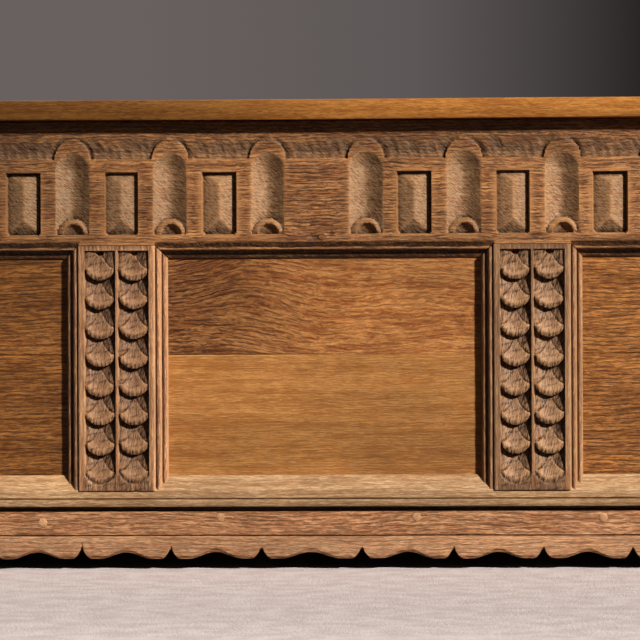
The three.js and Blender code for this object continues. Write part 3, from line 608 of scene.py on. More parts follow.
@dataclass(frozen=True)
class Oak:
    """Old oak with its grain, pores, stains, dirt and wear.

    Attributes:
        name: What the material is called.
        grain: The way the grain runs.
        light: The palest early wood, also laid on worn edges and, as painted highlight, on lit walls.
        dark: The late wood.
        pore: The open pores.
        dry: The wood where the carver has cut it and no wax has stayed.
        dirt_and_shade_tone: The dark laid in the hollows, for dirt and for painted shade.
        lines: How strongly the long rows of pores show.
        pitch: How far apart these rows are.
        waviness: How far the grain wanders.
        sway: How many times in a metre it does.
        shiver: How far the rows of pores tremble from place to place.
        warm: The redder flecks in the wood.
        flecks: How strongly they show.
        crown: Where the grain begins to rise, where its crest is and where its fall ends.
        slant: The turn of the gouge strokes where the timber is carved.
        pores: How strongly the fine pores show.
        stain: How strongly the tone changes from place to place.
        roughness: How matt the surface is.
        sheen: How strongly it mirrors, from the dry wood's to the waxed wood's.
        relief: How deep the grain feels.
        calm: How much weaker the pores are where the darkening has ended.
        blot: How strongly the brown stain low down on the right of a panel shows.
        fade: How much darker the left is than the right: on the lid a stain, elsewhere a painted fall of
            light.
        fade_start: The place along the chest where that darkening is full.
        fade_end: The place along the chest where it ends.
        seed: Where in the tree the timber comes from.
    """

    name: str
    grain: Grain
    light: str = "b98455"
    dark: str = "7a4b28"
    pore: str = "3a2011"
    dry: str = "b59072"
    dirt_and_shade_tone: str = "24140b"
    lines: float = 0.7
    pitch: float = 0.005
    waviness: float = 0.012
    sway: float = 3.0
    shiver: float = 0.0014
    warm: str = "94552c"
    flecks: float = 0.55
    crown: tuple[float, float, float] | None = None
    slant: float = 0.7
    pores: float = 0.45
    stain: float = 0.5
    roughness: float = 0.5
    sheen: float = 0.18
    relief: float = 0.5
    calm: float = 0.0
    blot: float = 0.0
    fade: float = 0.0
    fade_start: float = -0.42
    fade_end: float = 0.36
    seed: float = 0.0

    def _grain_space(self, book: Recipe) -> tuple[Socket, Socket]:
        """Lays the coordinates along the grain.

        Args:
            book: The material's nodes.

        Returns:
            The plain coordinates turned along the grain, and the same bent as grown wood is.
        """
        place = self._crowned(book) if self.crown else book.place()
        shift = (self.seed, self.seed * 0.7, self.seed * 0.3)
        values = {"Vector": place, "Rotation": self.grain.value, "Location": shift}
        turned = book.node("Mapping", values).outputs[0]
        bent = turned
        for along, across, reach in (
            (self.sway, self.sway * 2.5, self.waviness),
            (70.0, 150.0, self.shiver),
        ):
            spread = book.stretched(turned, along, across)
            drift = book.node("TexNoise", {"Vector": spread, "Scale": 1.0, "Detail": 2.0})
            centred = book.vectors("SUBTRACT", drift.outputs["Color"], (0.5, 0.5, 0.5))
            bent = book.vectors("MULTIPLY_ADD", centred, (reach * 2,) * 3, bent)
        return turned, bent

    def _crowned(self, book: Recipe) -> Socket:
        """Lifts the grain of a panel's upper board to a crest and lets it fall beyond.

        Args:
            book: The material's nodes.

        Returns:
            The bent coordinates.
        """
        start, crest, end = self.crown
        axes = book.axes()
        high = book.between(axes["Z"], 0.257, 0.375)
        rise = book.maths("ADD", book.times(high, 0.013), 0.001)
        fall = book.maths("SUBTRACT", 0.015, book.times(high, 0.007))
        rise = book.times(rise, book.between(axes["X"], start, crest))
        fall = book.times(fall, book.between(axes["X"], crest - 0.025, end))
        lift = book.node("CombineXYZ", {2: book.maths("SUBTRACT", rise, fall)}).outputs[0]
        return book.vectors("SUBTRACT", book.place(), lift)

    def _rows(self, book: Recipe, bent: Socket) -> Socket:
        """Draws the long rows of pores, a pitch apart.

        Args:
            book: The material's nodes.
            bent: The coordinates along the grain.

        Returns:
            A value that is highest along the rows.
        """
        values = {
            "Vector": book.stretched(bent, 0.16, 1.0),
            "Scale": 0.314 / self.pitch,
            "Distortion": 5.0,
            "Detail": 2.0,
            "Detail Scale": 1.3,
        }
        return book.node("TexWave", values, bands_direction="Z").outputs["Fac"]

    def _pores(self, book: Recipe, bent: Socket) -> Socket:
        """Draws the open pores: long broken rows, finer rows between, and single vessels.

        Args:
            book: The material's nodes.
            bent: The coordinates along the grain.

        Returns:
            How much of a pore shows at each place.
        """
        dashes = book.noise(book.stretched(bent, 55.0, 300.0), 1.0, 2.0, 0.6)
        broken = book.between(dashes, 0.4, 0.56, (0.15, 1.0))
        line = book.times(book.between(self._rows(book, bent), 0.55, 0.8), broken)
        finer = book.noise(book.stretched(bent, 60.0, 600.0), 1.0, 2.0, 0.6)
        thin = book.times(book.between(finer, 0.5, 0.6), self.lines * 0.75)
        vessels = book.noise(book.stretched(bent, 110.0, 760.0), 1.0, 1.0, 0.5)
        fine = book.times(book.between(vessels, 0.52, 0.62), self.pores)
        line = book.maths("MAXIMUM", thin, book.times(line, self.lines))
        return book.maths("MAXIMUM", fine, line)

    def make(self) -> Material:
        """Builds the material.

        Returns:
            The new material.
        """
        book = Recipe(bpy.data.materials.new(self.name))
        straight, bent = self._grain_space(book)
        figure = book.noise(book.stretched(bent, 9.0, 140.0), 1.0, 4.0, 0.7)
        fibre = book.noise(book.stretched(bent, 60.0, 800.0), 1.0, 2.0, 0.6)
        clouds = book.noise(book.stretched(straight, 4.0, 9.0), 1.0, 3.0, 0.55)
        warmth = book.noise(book.stretched(bent, 24.0, 170.0), 1.0, 3.0, 0.65)
        tone = book.maths("ADD", book.times(figure, 0.55), book.times(fibre, 0.45))
        colour = book.mix(book.between(tone, 0.39, 0.6), srgb(self.dark), srgb(self.light))
        flecks = book.between(warmth, 0.5, 0.68, (0.0, self.flecks))
        colour = book.mix(flecks, colour, srgb(self.warm))
        pore = self._pores(book, bent)
        side = book.axes()["X"]
        if self.calm:
            left = book.between(side, self.fade_start, self.fade_end, (1.0, 1.0 - self.calm))
            pore = book.times(pore, left)
        colour = book.mix(pore, colour, srgb(self.pore))
        if self.blot:
            colour = self._blotted(book, colour, warmth)
        ends = (1.0 - self.stain * 0.55, 1.0 + self.stain * 0.22)
        colour = book.dimmed(colour, book.between(clouds, 0.32, 0.68, ends))
        strokes = self._strokes(book)
        colour = self._by_carving(book, colour, strokes, clouds)
        # The fade: a stain on the lid, and on the other timbers a painted fall of the light towards the
        # left.
        if self.fade:
            dim = book.between(side, self.fade_start, self.fade_end, (1.0 - self.fade, 1.0))
            colour = book.dimmed(colour, dim)
        values = {
            "Base Color": colour,
            "Specular IOR Level": self.sheen,
            "Roughness": book.between(tone, 0.3, 0.7, (self.roughness + 0.1, self.roughness - 0.06)),
            "Normal": self._bump(book, strokes, figure, fibre, pore),
        }
        book.show(book.node("BsdfPrincipled", values))
        return book.owner

    def _blotted(self, book: Recipe, colour: Socket, flecks: Socket) -> Socket:
        """Lays the stain over the low right of a panel, broken by the grain.

        Args:
            book: The material's nodes.
            colour: The wood's colour.
            flecks: The cloudy value that breaks the stain up.

        Returns:
            The stained colour.
        """
        axes = book.axes()
        right_end = book.between(axes["X"], 0.165, 0.2, (1.0, 0.4))
        across = book.times(book.between(axes["X"], 0.0, 0.075), right_end)
        low = book.between(axes["Z"], 0.13, 0.172, (1.0, 0.0))
        broken = book.between(flecks, 0.36, 0.6, (0.25, 1.0))
        share = book.times(book.times(across, low), broken)
        return book.mix(book.times(share, self.blot), colour, srgb(self.pore))

    def _strokes(self, book: Recipe) -> Socket:
        """Draws the fine slanting marks of the carver's gouge.

        Args:
            book: The material's nodes.

        Returns:
            A value that runs in fine marks.
        """
        turn = {"Vector": book.place(), "Rotation": (0.0, self.slant, 0.0)}
        slanted = book.node("Mapping", turn).outputs[0]
        drawn = book.node("Mapping", {"Vector": slanted, "Scale": (140.0, 140.0, 760.0)}).outputs[0]
        return book.noise(drawn, 1.0, 2.0, 0.5)

    def _by_carving(self, book: Recipe, colour: Socket, strokes: Socket, clouds: Socket) -> Socket:
        """Dries the carved wood, darkens hollows with dirt and painted shade, and lightens raised edges.

        Args:
            book: The material's nodes.
            colour: The colour of the uncarved wood.
            strokes: The marks of the gouge.
            clouds: The slow change of tone, which the wear follows.

        Returns:
            The colour with the carving's marks.
        """
        marked = book.mix(book.between(strokes, 0.3, 0.6), srgb(self.dark), srgb(self.dry))
        dry = book.mix(0.7, colour, marked)
        colour = book.mix(book.times(book.attribute("cut"), 0.85), colour, dry)
        # Worn edges, and walls that face the light as a painted highlight, take the pale early wood.
        bared = book.between(clouds, 0.3, 0.6, (0.1, 0.5))
        colour = book.mix(book.times(book.attribute("worn"), bared), colour, srgb(self.light))
        # The hollow mask lays the dark colour: dirt, and painted shade in the recesses.
        held = book.between(strokes, 0.38, 0.62, (1.0, 0.55))
        return book.mix(book.times(book.attribute("hollow"), held), colour, srgb(self.dirt_and_shade_tone))

    def _bump(self, book: Recipe, strokes: Socket, figure: Socket, fibre: Socket, pore: Socket) -> Socket:
        """Raises the grain, opens the pores and, where the wood is carved, adds the tool's marks.

        Args:
            book: The material's nodes.
            strokes: The marks of the gouge.
            figure: The broad grain.
            fibre: The fine grain.
            pore: The open pores.

        Returns:
            The normal for the shader.
        """
        tooled = book.times(book.times(strokes, 0.7), book.attribute("cut"))
        height = book.maths("SUBTRACT", book.times(fibre, 0.3), book.times(pore, 0.7))
        height = book.maths("ADD", height, book.times(figure, 0.35))
        height = book.maths("ADD", height, tooled)
        return book.bump(height, self.relief, 0.0011)


@dataclass(frozen=True)
class Iron:
    """Hand forged iron, dark and a little rusty.

    Attributes:
        name: What the material is called.
        black: The forged skin.
        rust: The rust.
    """

    name: str = "forged_iron"
    black: str = "2b2826"
    rust: str = "5a3a28"

    def make(self) -> Material:
        """Builds the material.

        Returns:
            The new material.
        """
        book = Recipe(bpy.data.materials.new(self.name))
        place = book.place()
        forged = book.noise(place, 160.0, 4.0, 0.6)
        blotches = book.noise(place, 28.0, 3.0, 0.6)
        values = {
            "Base Color": book.mix(book.between(blotches, 0.48, 0.66), srgb(self.black), srgb(self.rust)),
            "Metallic": 0.75,
            "Roughness": book.between(forged, 0.3, 0.7, (0.45, 0.75)),
            "Normal": book.bump(forged, 0.5, 0.0008),
        }
        book.show(book.node("BsdfPrincipled", values))
        return book.owner


def finish_piece(obj: Object, body: str, slot: str, material: Material, *nodes: str) -> None:
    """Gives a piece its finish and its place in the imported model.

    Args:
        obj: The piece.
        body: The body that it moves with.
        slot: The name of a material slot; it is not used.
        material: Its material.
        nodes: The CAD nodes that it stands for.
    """
    obj.data.materials.clear()
    obj.data.materials.append(material)
    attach(obj, body)
    if nodes:
        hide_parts(*nodes)
    LOG.info("%s: %d faces on %s", obj.name, len(obj.data.polygons), body)


# The shared sizes of the front

# The moulding's section: shares of its width from the plain face, and of its depth.
MOULDING_SHARES = (
    (0, 0.085, 0.105, 0.13, 0.17, 0.22, 0.28, 0.34, 0.39, 0.43, 0.46, 0.485,
     0.53, 0.585, 0.61, 0.65, 0.7, 0.76, 0.82, 0.87, 0.92, 0.96, 0.985, 1.0),
    (0.24, 0.25, 0.16, 0.1, 0.06, 0.035, 0.03, 0.05, 0.1, 0.17, 0.28, 0.5,
     0.62, 0.62, 0.54, 0.48, 0.45, 0.44, 0.46, 0.5, 0.57, 0.66, 0.8, 1.0),
)


@dataclass(frozen=True)
class Front:
    """The lines that the pieces of the front meet on.

    Attributes:
        face: The Y of the plain face.
        apron_top: The height of the apron's upper edge.
        sill_bottom: The height of the sill's front edge.
        sill_top: The height of the sill's back edge, where the panels begin.
        rail_bottom: The height of the top rail's lower edge.
        mitre_top: The height at which the top rail's moulding ends.
        top: The height of the frame.
        moulding_width: The width of the moulding.
        moulding_depth: How far the moulding falls back.
        stile: Half the length between the posts' plain faces.
        muntin_half: Half the plain face of a muntin.
        muntins: Where the muntins stand.
    """

    face: float = -0.24675
    apron_top: float = 0.070
    sill_bottom: float = 0.0955
    sill_top: float = 0.1135
    rail_bottom: float = 0.3755
    mitre_top: float = 0.3905
    top: float = 0.5405
    moulding_width: float = 0.015
    moulding_depth: float = 0.013
    stile: float = 0.7025
    muntin_half: float = 0.046
    muntins: tuple[float, float] = (-0.2495, 0.2495)

    def moulding(self, across: Array) -> Array:
        """Shapes the two beads and quirks between the plain face and a panel.

        Args:
            across: The distances from the plain face.

        Returns:
            The depth at each of them.
        """
        return self.moulding_depth * np.interp(across / self.moulding_width, *MOULDING_SHARES)

    def scribed(self, depth: Array) -> Array:
        """Returns the height at which a member of this depth meets the sill's slope."""
        slope = (self.sill_top - self.sill_bottom) / self.moulding_depth
        return self.sill_bottom + CLEARANCE + np.clip(depth, 0, self.moulding_depth) * slope


@dataclass
class TopRail:
    """The front's top rail with its frieze of flutes and sunk pyramids.

    Attributes:
        front: The lines of the front.
        pitch: From flute to flute.
        shift: How far the middle of the frieze is off the chest's.
        foot: The height of the base of the flutes and pyramids.
        flute_top: The height of the flutes' heads.
        flute_half: Half the width of a flute.
        flute_depth: The depth of a flute.
        foot_radius: The radius of the half disc at a flute's foot.
        scoop_radius: The radius of the hollow in that half disc.
        pyramid_half: Half the width of a sunk rectangle.
        pyramid_top: The height of its upper edge.
        hip: From its ends to its ridge.
        pyramid_depth: How deep it is at its walls.
        ground: The lowest and highest height of the ground between the arches.
        arch_radius: The radius of an arch's head.
        stroke: The width of a gouge stroke in the ground.
        arch_rise: How far the middle of an arch's head is above its centre line on the ground.
        back: The thickness of the rail.
        cell: The width of the mesh's cells.
        plugs: Where the two small plugs are.
        dents: Where the dents beside the peg are, and how far they reach.
        lower_edge: The rail's lower edge over a panel: heights over the edge, and depths.
    """

    front: Front
    pitch: float = 0.1175
    shift: float = -0.0085
    foot: float = 0.4035
    flute_top: float = 0.5025
    flute_half: float = 0.0205
    flute_depth: float = 0.009
    foot_radius: float = 0.0193
    scoop_radius: float = 0.0125
    pyramid_half: float = 0.020
    pyramid_top: float = 0.4775
    hip: float = 0.018
    pyramid_depth: float = 0.0060
    ground: tuple[float, float] = (0.4943, 0.5128)
    arch_radius: float = 0.0218
    stroke: float = 0.0115
    arch_rise: float = 0.0045
    back: float = 0.032
    cell: float = 0.0017
    plugs: tuple[tuple[float, float], ...] = ((-0.158, 0.4656), (-0.1536, 0.4356))
    dents: tuple[Place, ...] = ((-0.0125, 0.4, 0.0062), (0.0085, 0.4035, 0.0042))
    lower_edge: tuple[tuple[float, ...], tuple[float, ...]] = (
        (0, 0.0008, 0.0025, 0.0045, 0.0065, 0.008, 0.0087, 0.0094, 0.0106, 0.0116, 0.0126, 0.0187, 0.02),
        (0.013, 0.0124, 0.0116, 0.0114, 0.0118, 0.0104, 0.0056, 0.0041, 0.0037, 0.0042, 0.0041, 0.0003, 0),
    )

    def _places(self, offset: float, rng: np.random.Generator) -> Array:
        """Sets a motif out along the rail.

        Args:
            offset: How far the first one is off the middle of the frieze.
            rng: What the small differences are drawn from.

        Returns:
            Where the motif stands.
        """
        reach = self.front.stile - self.front.moulding_width - self.flute_half - 0.0025
        even = self.shift + offset + self.pitch * np.arange(-8, 9)
        kept = even[np.abs(even) < reach]
        return kept + rng.normal(0, 0.0005, len(kept))

    def _flutes(self, work: Relief, places: Array, rng: np.random.Generator) -> None:
        """Cuts the flutes, and the scoops in the half discs at their feet.

        Args:
            work: The rail's face.
            places: Where the flutes stand.
            rng: What the carver's small differences are drawn from.
        """
        half = self.flute_half + rng.normal(0, 0.0003, len(places))
        head = self.flute_top - self.flute_half + rng.normal(0, 0.0005, len(places))
        lean = rng.normal(0, 0.006, len(places))

        def across(x: Array, z: Array) -> tuple[Array, Array]:
            """Numbers the nearest flute and measures from its leaning middle."""
            index, dx = nearest(x, places)
            return index, dx - lean[index] * (z - self.foot)

        def channel(x: Array, z: Array) -> Array:
            """Measures how far points are from the whole flute.

            Args:
                x: Places along the rail.
                z: Heights.

            Returns:
                The signed distances.
            """
            index, dx = across(x, z)
            over = np.maximum(z - head[index], 0)
            return np.maximum(np.hypot(dx, over) - half[index], self.foot - z)

        def disc(x: Array, z: Array) -> Array:
            """Returns the signed distance from the half disc at the foot."""
            _, dx = across(x, z)
            return np.maximum(np.hypot(dx * 1.02, z - self.foot) - self.foot_radius, self.foot - z)

        def flute(x: Array, z: Array) -> Array:
            """Returns the signed distance from the flute without its foot."""
            return np.maximum(channel(x, z), -disc(x, z))

        def scoop(x: Array, z: Array) -> Array:
            """Returns the signed distance from the scoop."""
            _, dx = across(x, z)
            return np.maximum(np.hypot(dx - 0.001, z - self.foot) - self.scoop_radius, self.foot - z)

        work.snap(channel, self.cell * 0.6)
        work.snap(disc, self.cell * 0.6)
        work.snap(scoop, self.cell * 0.5)
        index, dx = across(work.x, work.z)
        over = np.maximum(work.z - head[index], 0)
        out = np.clip(np.hypot(dx, over) / half[index], 0, 1)
        blunt = 0.3
        slope = (np.hypot(out, blunt) - blunt) / (math.hypot(1, blunt) - blunt)
        waver = 1 + 0.06 * np.sin(work.z / 0.011 + 3 * index) + 0.03 * np.sin(work.z / 0.0043 + index)
        fluted = flute(work.x, work.z) < 0
        work.sink(fluted, 0.0002 + self.flute_depth * (1 - slope) * waver)
        # Painted shade darkens each flute towards its right wall, the side turned from the light.
        work.soil_and_shade += np.where(fluted, 0.4 * np.clip(0.2 + dx / half[index], 0, 1), 0)
        rim = disc(work.x, work.z)
        low_left = 0.0022 * np.clip(0.45 - dx / self.foot_radius, 0, 1.2)
        work.sink(rim < 0, 0.0006 + low_left + 0.0018 * np.clip(1 + rim / 0.0035, 0, 1) ** 2, 0.6)
        out = np.hypot(dx - 0.001, work.z - self.foot) / self.scoop_radius
        hollow = 0.001 + low_left + 0.0062 * np.sqrt(np.clip(1 - out**2, 0, 1))
        work.sink(scoop(work.x, work.z) < 0, hollow, 0.8)

    def _pyramids(self, work: Relief, places: Array, rng: np.random.Generator) -> None:
        """Sinks the rectangles round their hipped pyramids.

        Args:
            work: The rail's face.
            places: Where the rectangles stand.
            rng: What the carver's small differences are drawn from.
        """
        half = self.pyramid_half + rng.normal(0, 0.0004, len(places))
        top = self.pyramid_top + rng.normal(0, 0.0006, len(places))
        deep = self.pyramid_depth * (1 + rng.normal(0, 0.06, len(places)))

        def sunk(x: Array, z: Array) -> Array:
            """Measures how far points are from the nearest rectangle.

            Args:
                x: Places along the rail.
                z: Heights.

            Returns:
                The signed distances.
            """
            index, dx = nearest(x, places)
            corner = np.where(z < self.foot + 0.01, 0.004, 0.0015)
            tall, middle = (top[index] - self.foot) / 2, (top[index] + self.foot) / 2
            return rounded_box(dx, z - middle, half[index], tall, corner)

        work.snap(sunk, self.cell * 0.6, 0.001)
        index, dx = nearest(work.x, places)
        side = 1 - np.abs(dx) / half[index]
        end = np.minimum((work.z - self.foot) / self.hip, (top[index] - work.z) / (self.hip * 0.7))
        rise = np.clip(np.minimum(side, end), 0, 1)
        inside = sunk(work.x, work.z) < 0
        work.sink(inside, deep[index] * (1 - rise) + 0.0007)
        # Painted shade on the left slope, turned from the light, and on the foot's facet, turned down.
        shaded = np.clip(0.5 - dx / 0.004, 0, 1) * 0.12 + (work.z - self.foot < self.hip * side) * 0.55
        work.soil_and_shade += np.where(inside, shaded, 0)

    def _ground(self, work: Relief, flutes: Array, rng: np.random.Generator) -> None:
        """Sinks the ground between the arches in upright gouge strokes.

        Args:
            work: The rail's face.
            flutes: Where the flutes stand.
            rng: What the carver's small differences are drawn from.
        """
        low, high = self.ground
        ends = 1.6
        centre = high - self.arch_radius + self.arch_rise

        def ground(x: Array, z: Array) -> Array:
            """Measures how far points are from the ground, which has no edge above.

            Args:
                x: Places along the rail.
                z: Heights.

            Returns:
                The signed distances.
            """
            _, dx = nearest(x, flutes)
            arch = np.hypot(dx, z - centre) - self.arch_radius
            return np.maximum(low - z, -arch)

        work.snap(ground, self.cell * 0.6, 0.0015)
        height = (work.z - low) / (high - low)
        bowed = work.x + 0.0052 * height**2 - 0.001 * height
        count = (bowed + 0.0012 * np.sin(work.x * 150) + 0.0007 * np.sin(work.x * 410)) / self.stroke
        drawn = 64
        number = np.floor(count).astype(int) % drawn
        reach = rng.uniform(1.0, 1.5, drawn)[number]
        bite = rng.uniform(0.75, 1.15, drawn)[number]
        stroke = 1 - np.abs(2 * (count % 1) - 1) ** 2.2
        fade = np.clip((reach - height) / 0.75, 0, 1) ** 0.8
        _, dx = nearest(work.x, flutes)
        under = np.clip(1 - (np.hypot(dx, work.z - centre) - self.arch_radius) / 0.006, 0, 1)
        under *= np.clip((np.abs(dx) - 0.003) / 0.008, 0, 1) * np.clip((ends - height) / 0.3, 0, 1)
        fade *= np.clip((np.abs(dx) - 0.011) / 0.009, 0, 1)
        depth = (0.0014 + 0.001 * stroke * bite) * fade + 0.0024 * under
        inside = (ground(work.x, work.z) < 0) & (height < ends)
        work.sink(inside & (depth > 1e-5), depth, np.clip(depth / 0.0018, 0, 0.55))
        # Darkens the sunk ground, most between strokes: dirt and painted shade in the recess.
        work.soil_and_shade += np.where(inside, (0.24 + 0.2 * (1 - stroke)) * fade, 0)

    def _details(self, work: Relief) -> None:
        """Adds the plugs, the dents beside the peg, the uneven face, its dirt and a painted lid shadow.

        Args:
            work: The rail's face.
        """
        ring, ring_width, dent_depth = 0.0036, 0.0007, 0.0022
        for x, z in self.plugs:
            out = np.hypot(work.x - x, work.z - z)
            work.depth += ring_width * np.exp(-(((out - ring) / ring_width) ** 2))
        for x, z, reach in self.dents:
            dent = np.hypot((work.x - x) / 1.3, work.z - z) / reach
            work.depth += dent_depth * np.exp(-(dent**2) * 1.6)
        work.depth += wander(work.x, work.z, 31, 0.00025, 0.17)
        low = np.clip((self.foot - work.z) / 0.006, 0, 1)
        work.soil_and_shade += low * (0.27 + 0.2 * wander(work.x, work.z, 33, 1.0, 0.12))
        # A painted shadow along the top, under the lid, lengthening the one that the lid casts.
        lid_shadow_start = self.ground[0] + 0.0042
        work.soil_and_shade += 0.5 * np.clip((work.z - lid_shadow_start) / 0.006, 0, 1)

    def _lower_edge(self, work: Relief, reach: float) -> None:
        """Moulds the lower edge over the panels and paints shade on it; sinks what muntins and posts hide.

        Args:
            work: The rail's face.
            reach: Half the rail's length.
        """
        edge = self.front
        under = edge.mitre_top - work.z
        mitre = np.maximum(under, 0)
        ends = reach - mitre
        seats = np.minimum(*[np.abs(work.x - m) - edge.muntin_half - mitre for m in edge.muntins])
        hidden = ((seats < 0) | (np.abs(work.x) > ends)) & (under > 0)
        beside = np.minimum(seats, ends - np.abs(work.x)) > 0
        heights, falls = edge.rail_bottom + np.array(self.lower_edge[0]), self.lower_edge[1]
        work.depth += np.where(beside, np.interp(work.z, heights, falls), 0)
        # Painted shade in the quirk and over the beads below it, which face down.
        quirk = beside & (work.z > heights[10])
        work.soil_and_shade += np.where(quirk, 0.75 * np.clip((heights[11] - work.z) / 0.001, 0, 1), 0)
        work.soil_and_shade += np.where(beside & (work.z < heights[8]), 0.8, 0)
        work.sink(hidden, 0.022, 0.0)

    def build(self, material: Material) -> None:
        """Carves the rail and puts it in place of its CAD node.

        Args:
            material: Its finish.
        """
        rng = np.random.default_rng(11)
        edge = self.front
        reach = edge.stile - CLEARANCE
        moulded, carved = edge.mitre_top + 0.005, self.ground[1] + 0.0105
        rows = lines(
            (edge.rail_bottom, moulded, 0.0008),
            (moulded, self.foot - 0.001, 0.002),
            (self.foot - 0.001, carved, 0.0016),
            (carved, edge.top - 0.003, 0.005),
            (edge.top - 0.003, edge.top, 0.001),
        )
        work = Relief(lines((-reach, reach, self.cell)), rows)
        flutes = self._places(self.pitch / 2, rng)
        blocks = self._places(0.0, rng)
        blocks = blocks[np.abs(blocks - self.shift) > self.pitch / 2]
        self._flutes(work, flutes, rng)
        self._pyramids(work, blocks, rng)
        self._ground(work, flutes, rng)
        self._details(work)
        arris = 0.002
        work.depth += 0.6 * np.maximum(work.z - edge.top + arris, 0)
        self._lower_edge(work, reach)
        obj = work.build("top_rail_carved", edge.face, self.back)
        finish_piece(obj, "chest", "oak_brown", material, "front_top_rail")


@dataclass
class Scales:
    """Columns of overlapping scales.

    Attributes:
        rows: How many scales a column has.
        bottom: The height of the lowest scale's foot.
        top: The height at which the columns end.
        width: The width of a column.
        spine: The width of the strip between the two columns.
        stops: Shares of the pitch, from a scale's foot up.
        falls: The depth of a scale at each of them, where another scale lies over it.
        crown: The same for the highest scale, which nothing covers.
    """

    rows: int = 8
    bottom: float = 0.1035
    top: float = 0.3835
    width: float = 0.037
    spine: float = 0.004
    stops: tuple[float, ...] = (0, 0.05, 0.12, 0.19, 0.28, 0.45, 0.7, 1.0)
    falls: tuple[float, ...] = (0.002, 0.0013, 0.0009, 0.0009, 0.0015, 0.0028, 0.0048, 0.0076)
    crown: tuple[float, ...] = (0.002, 0.0013, 0.0009, 0.0009, 0.0014, 0.0019, 0.0021, 0.0019)

    def carve(self, work: Relief, middle: float, face: float, cell: float, seed: int) -> None:
        """Cuts both columns into a member.

        Args:
            work: The member's face.
            middle: Where the middle of the member is.
            face: The depth of its plain face.
            cell: The width of its mesh's cells.
            seed: What the carver's small differences are drawn from.
        """
        rng = np.random.default_rng(seed)
        for side in (-1, 1):
            self._column(work, middle + side * (self.width + self.spine) / 2, face, cell, rng)
        border, border_dirt = 0.0035, 0.38
        near = np.abs(work.x - middle) < self.width + self.spine / 2 + border
        work.soil_and_shade += np.where(near & (work.cut == 0), border_dirt, 0)

    def _column(
        self, work: Relief, centre: float, face: float, cell: float, rng: np.random.Generator
    ) -> None:
        """Cuts one column, from its frame to its lowest scale's incised foot.

        Args:
            work: The member's face.
            centre: Where the middle of the column is.
            face: The depth of the member's plain face.
            cell: The width of its mesh's cells.
            rng: What the carver's small differences are drawn from.
        """
        half = self.width / 2 - 0.0002
        round_ = self.width / 2 + 0.001
        pitch = (self.top - self.bottom) / self.rows
        feet = self.bottom + pitch * np.arange(self.rows) + rng.normal(0, 0.0006, self.rows)
        tilt = rng.normal(0, 0.018, self.rows)
        lift = rng.normal(0, 0.00035, self.rows)

        def above_foot(x: Array, z: Array) -> tuple[Array, Array, Array]:
            """Finds the scale that shows at each point.

            Args:
                x: Places across the member.
                z: Heights.

            Returns:
                Which scale it is, how far its foot is below and how far the next foot is above.
            """
            dx = np.clip(x - centre, -half, half)
            arc = round_ - np.sqrt(round_**2 - dx**2)
            shown = np.full(x.shape, -1)
            below = z - (feet[0] + arc + tilt[0] * dx)
            above = np.full(x.shape, 1.0)
            for k in range(self.rows):
                over = z - (feet[k] + arc + tilt[k] * dx)
                shown = np.where(over >= 0, k, shown)
                below = np.where(over >= 0, over, below)
                above = np.where((over < 0) & (above > 0.9), -over, above)
            return shown, below, above

        def foot_edge(x: Array, z: Array) -> Array:
            """Returns the signed distance from the nearest foot."""
            _, below, above = above_foot(x, z)
            return np.where(np.abs(below) < above, below, -above)

        def shoulder(x: Array, z: Array) -> Array:
            """Measures how far points are below the shoulders of the scale that shows.

            Args:
                x: Places across the member.
                z: Heights.

            Returns:
                The signed heights.
            """
            shown, _, _ = above_foot(x, z)
            away = np.abs(x - centre) * 1000
            line = (36.5 - 2.55 * away + 0.075 * away**2) / 1000
            return np.where(shown >= 0, feet[shown] + line - z, 1.0)

        def frame(x: Array, z: Array) -> Array:
            """Returns the signed distance from the whole column."""
            return rounded_box(x - centre, z - self.top / 2, half, self.top / 2, 0.0)

        work.snap(frame, cell * 0.6)
        column = frame(work.x, work.z) < 0
        for edge, reach in ((foot_edge, 0.55), (shoulder, 0.5)):
            kept, within = (work.x.copy(), work.z.copy()), column
            if edge is shoulder:
                _, below, above = above_foot(*kept)
                within = column & (np.minimum(np.abs(below), above) > cell * reach)
            work.snap(edge, cell * reach)
            work.x = np.where(within, np.clip(work.x, centre - half, centre + half), kept[0])
            work.z = np.where(within, np.minimum(work.z, self.top), kept[1])
        shown, below, _ = above_foot(work.x, work.z)
        dx = work.x - centre
        share = below / pitch
        first = shown == self.rows - 1
        body = np.where(
            first, np.interp(share, self.stops, self.crown), np.interp(share, self.stops, self.falls)
        )
        dish = 0.0013 * np.clip(1 - (dx / 0.012) ** 2, 0, 1) * np.clip((share - 0.15) / 0.2, 0, 1)
        edge_roll = 0.0014 * np.clip((np.abs(dx) - 0.0125) / 0.006, 0, 1) ** 2
        ripple = 0.0003 * np.sin(dx / 0.0009 + 2 * shown) * np.clip(1 - share / 0.2, 0, 1)
        depth = body + dish + edge_roll + ripple + lift[shown]
        over = -shoulder(work.x, work.z)
        rise = np.clip((np.abs(dx) - 0.003) / 0.0155, 0, 1)
        facet = np.where(first, 0.0034 - 0.0018 * rise, 0.0068 - 0.005 * rise)
        facet -= np.where(dx > 0, 0.0003 * rise, 0)
        grooved = np.where((over > 0) & (shown >= 0), np.maximum(facet, depth + 0.0005), depth)
        grooved += 0.0011 * np.exp(-(((over - 0.0007) / 0.0008) ** 2)) * (over > -0.001)
        notch = np.hypot((dx - 0.0005) / 1.3, (work.z - self.top + 0.0012) / 1.1)
        grooved += np.where((notch < 0.0036) & (work.z < self.top), 0.0045, 0)
        work.sink(column & (shown >= 0), face + grooved)
        ticks = 0.62 + 0.38 * np.sin(dx / 0.00075 + 3 * shown + 1.4 * np.sin(dx / 0.0031 + shown))
        lip = 1.5 * ticks * np.clip(1 - share / 0.21, 0, 1) ** 0.7
        dirt_and_shade_tone = np.where((shown >= 0) & (over < 0), lip, 0)
        dirt_and_shade_tone += 0.75 * np.clip(wander(work.x, work.z, 41, 1.0, 0.015) - 0.15, 0, 1)
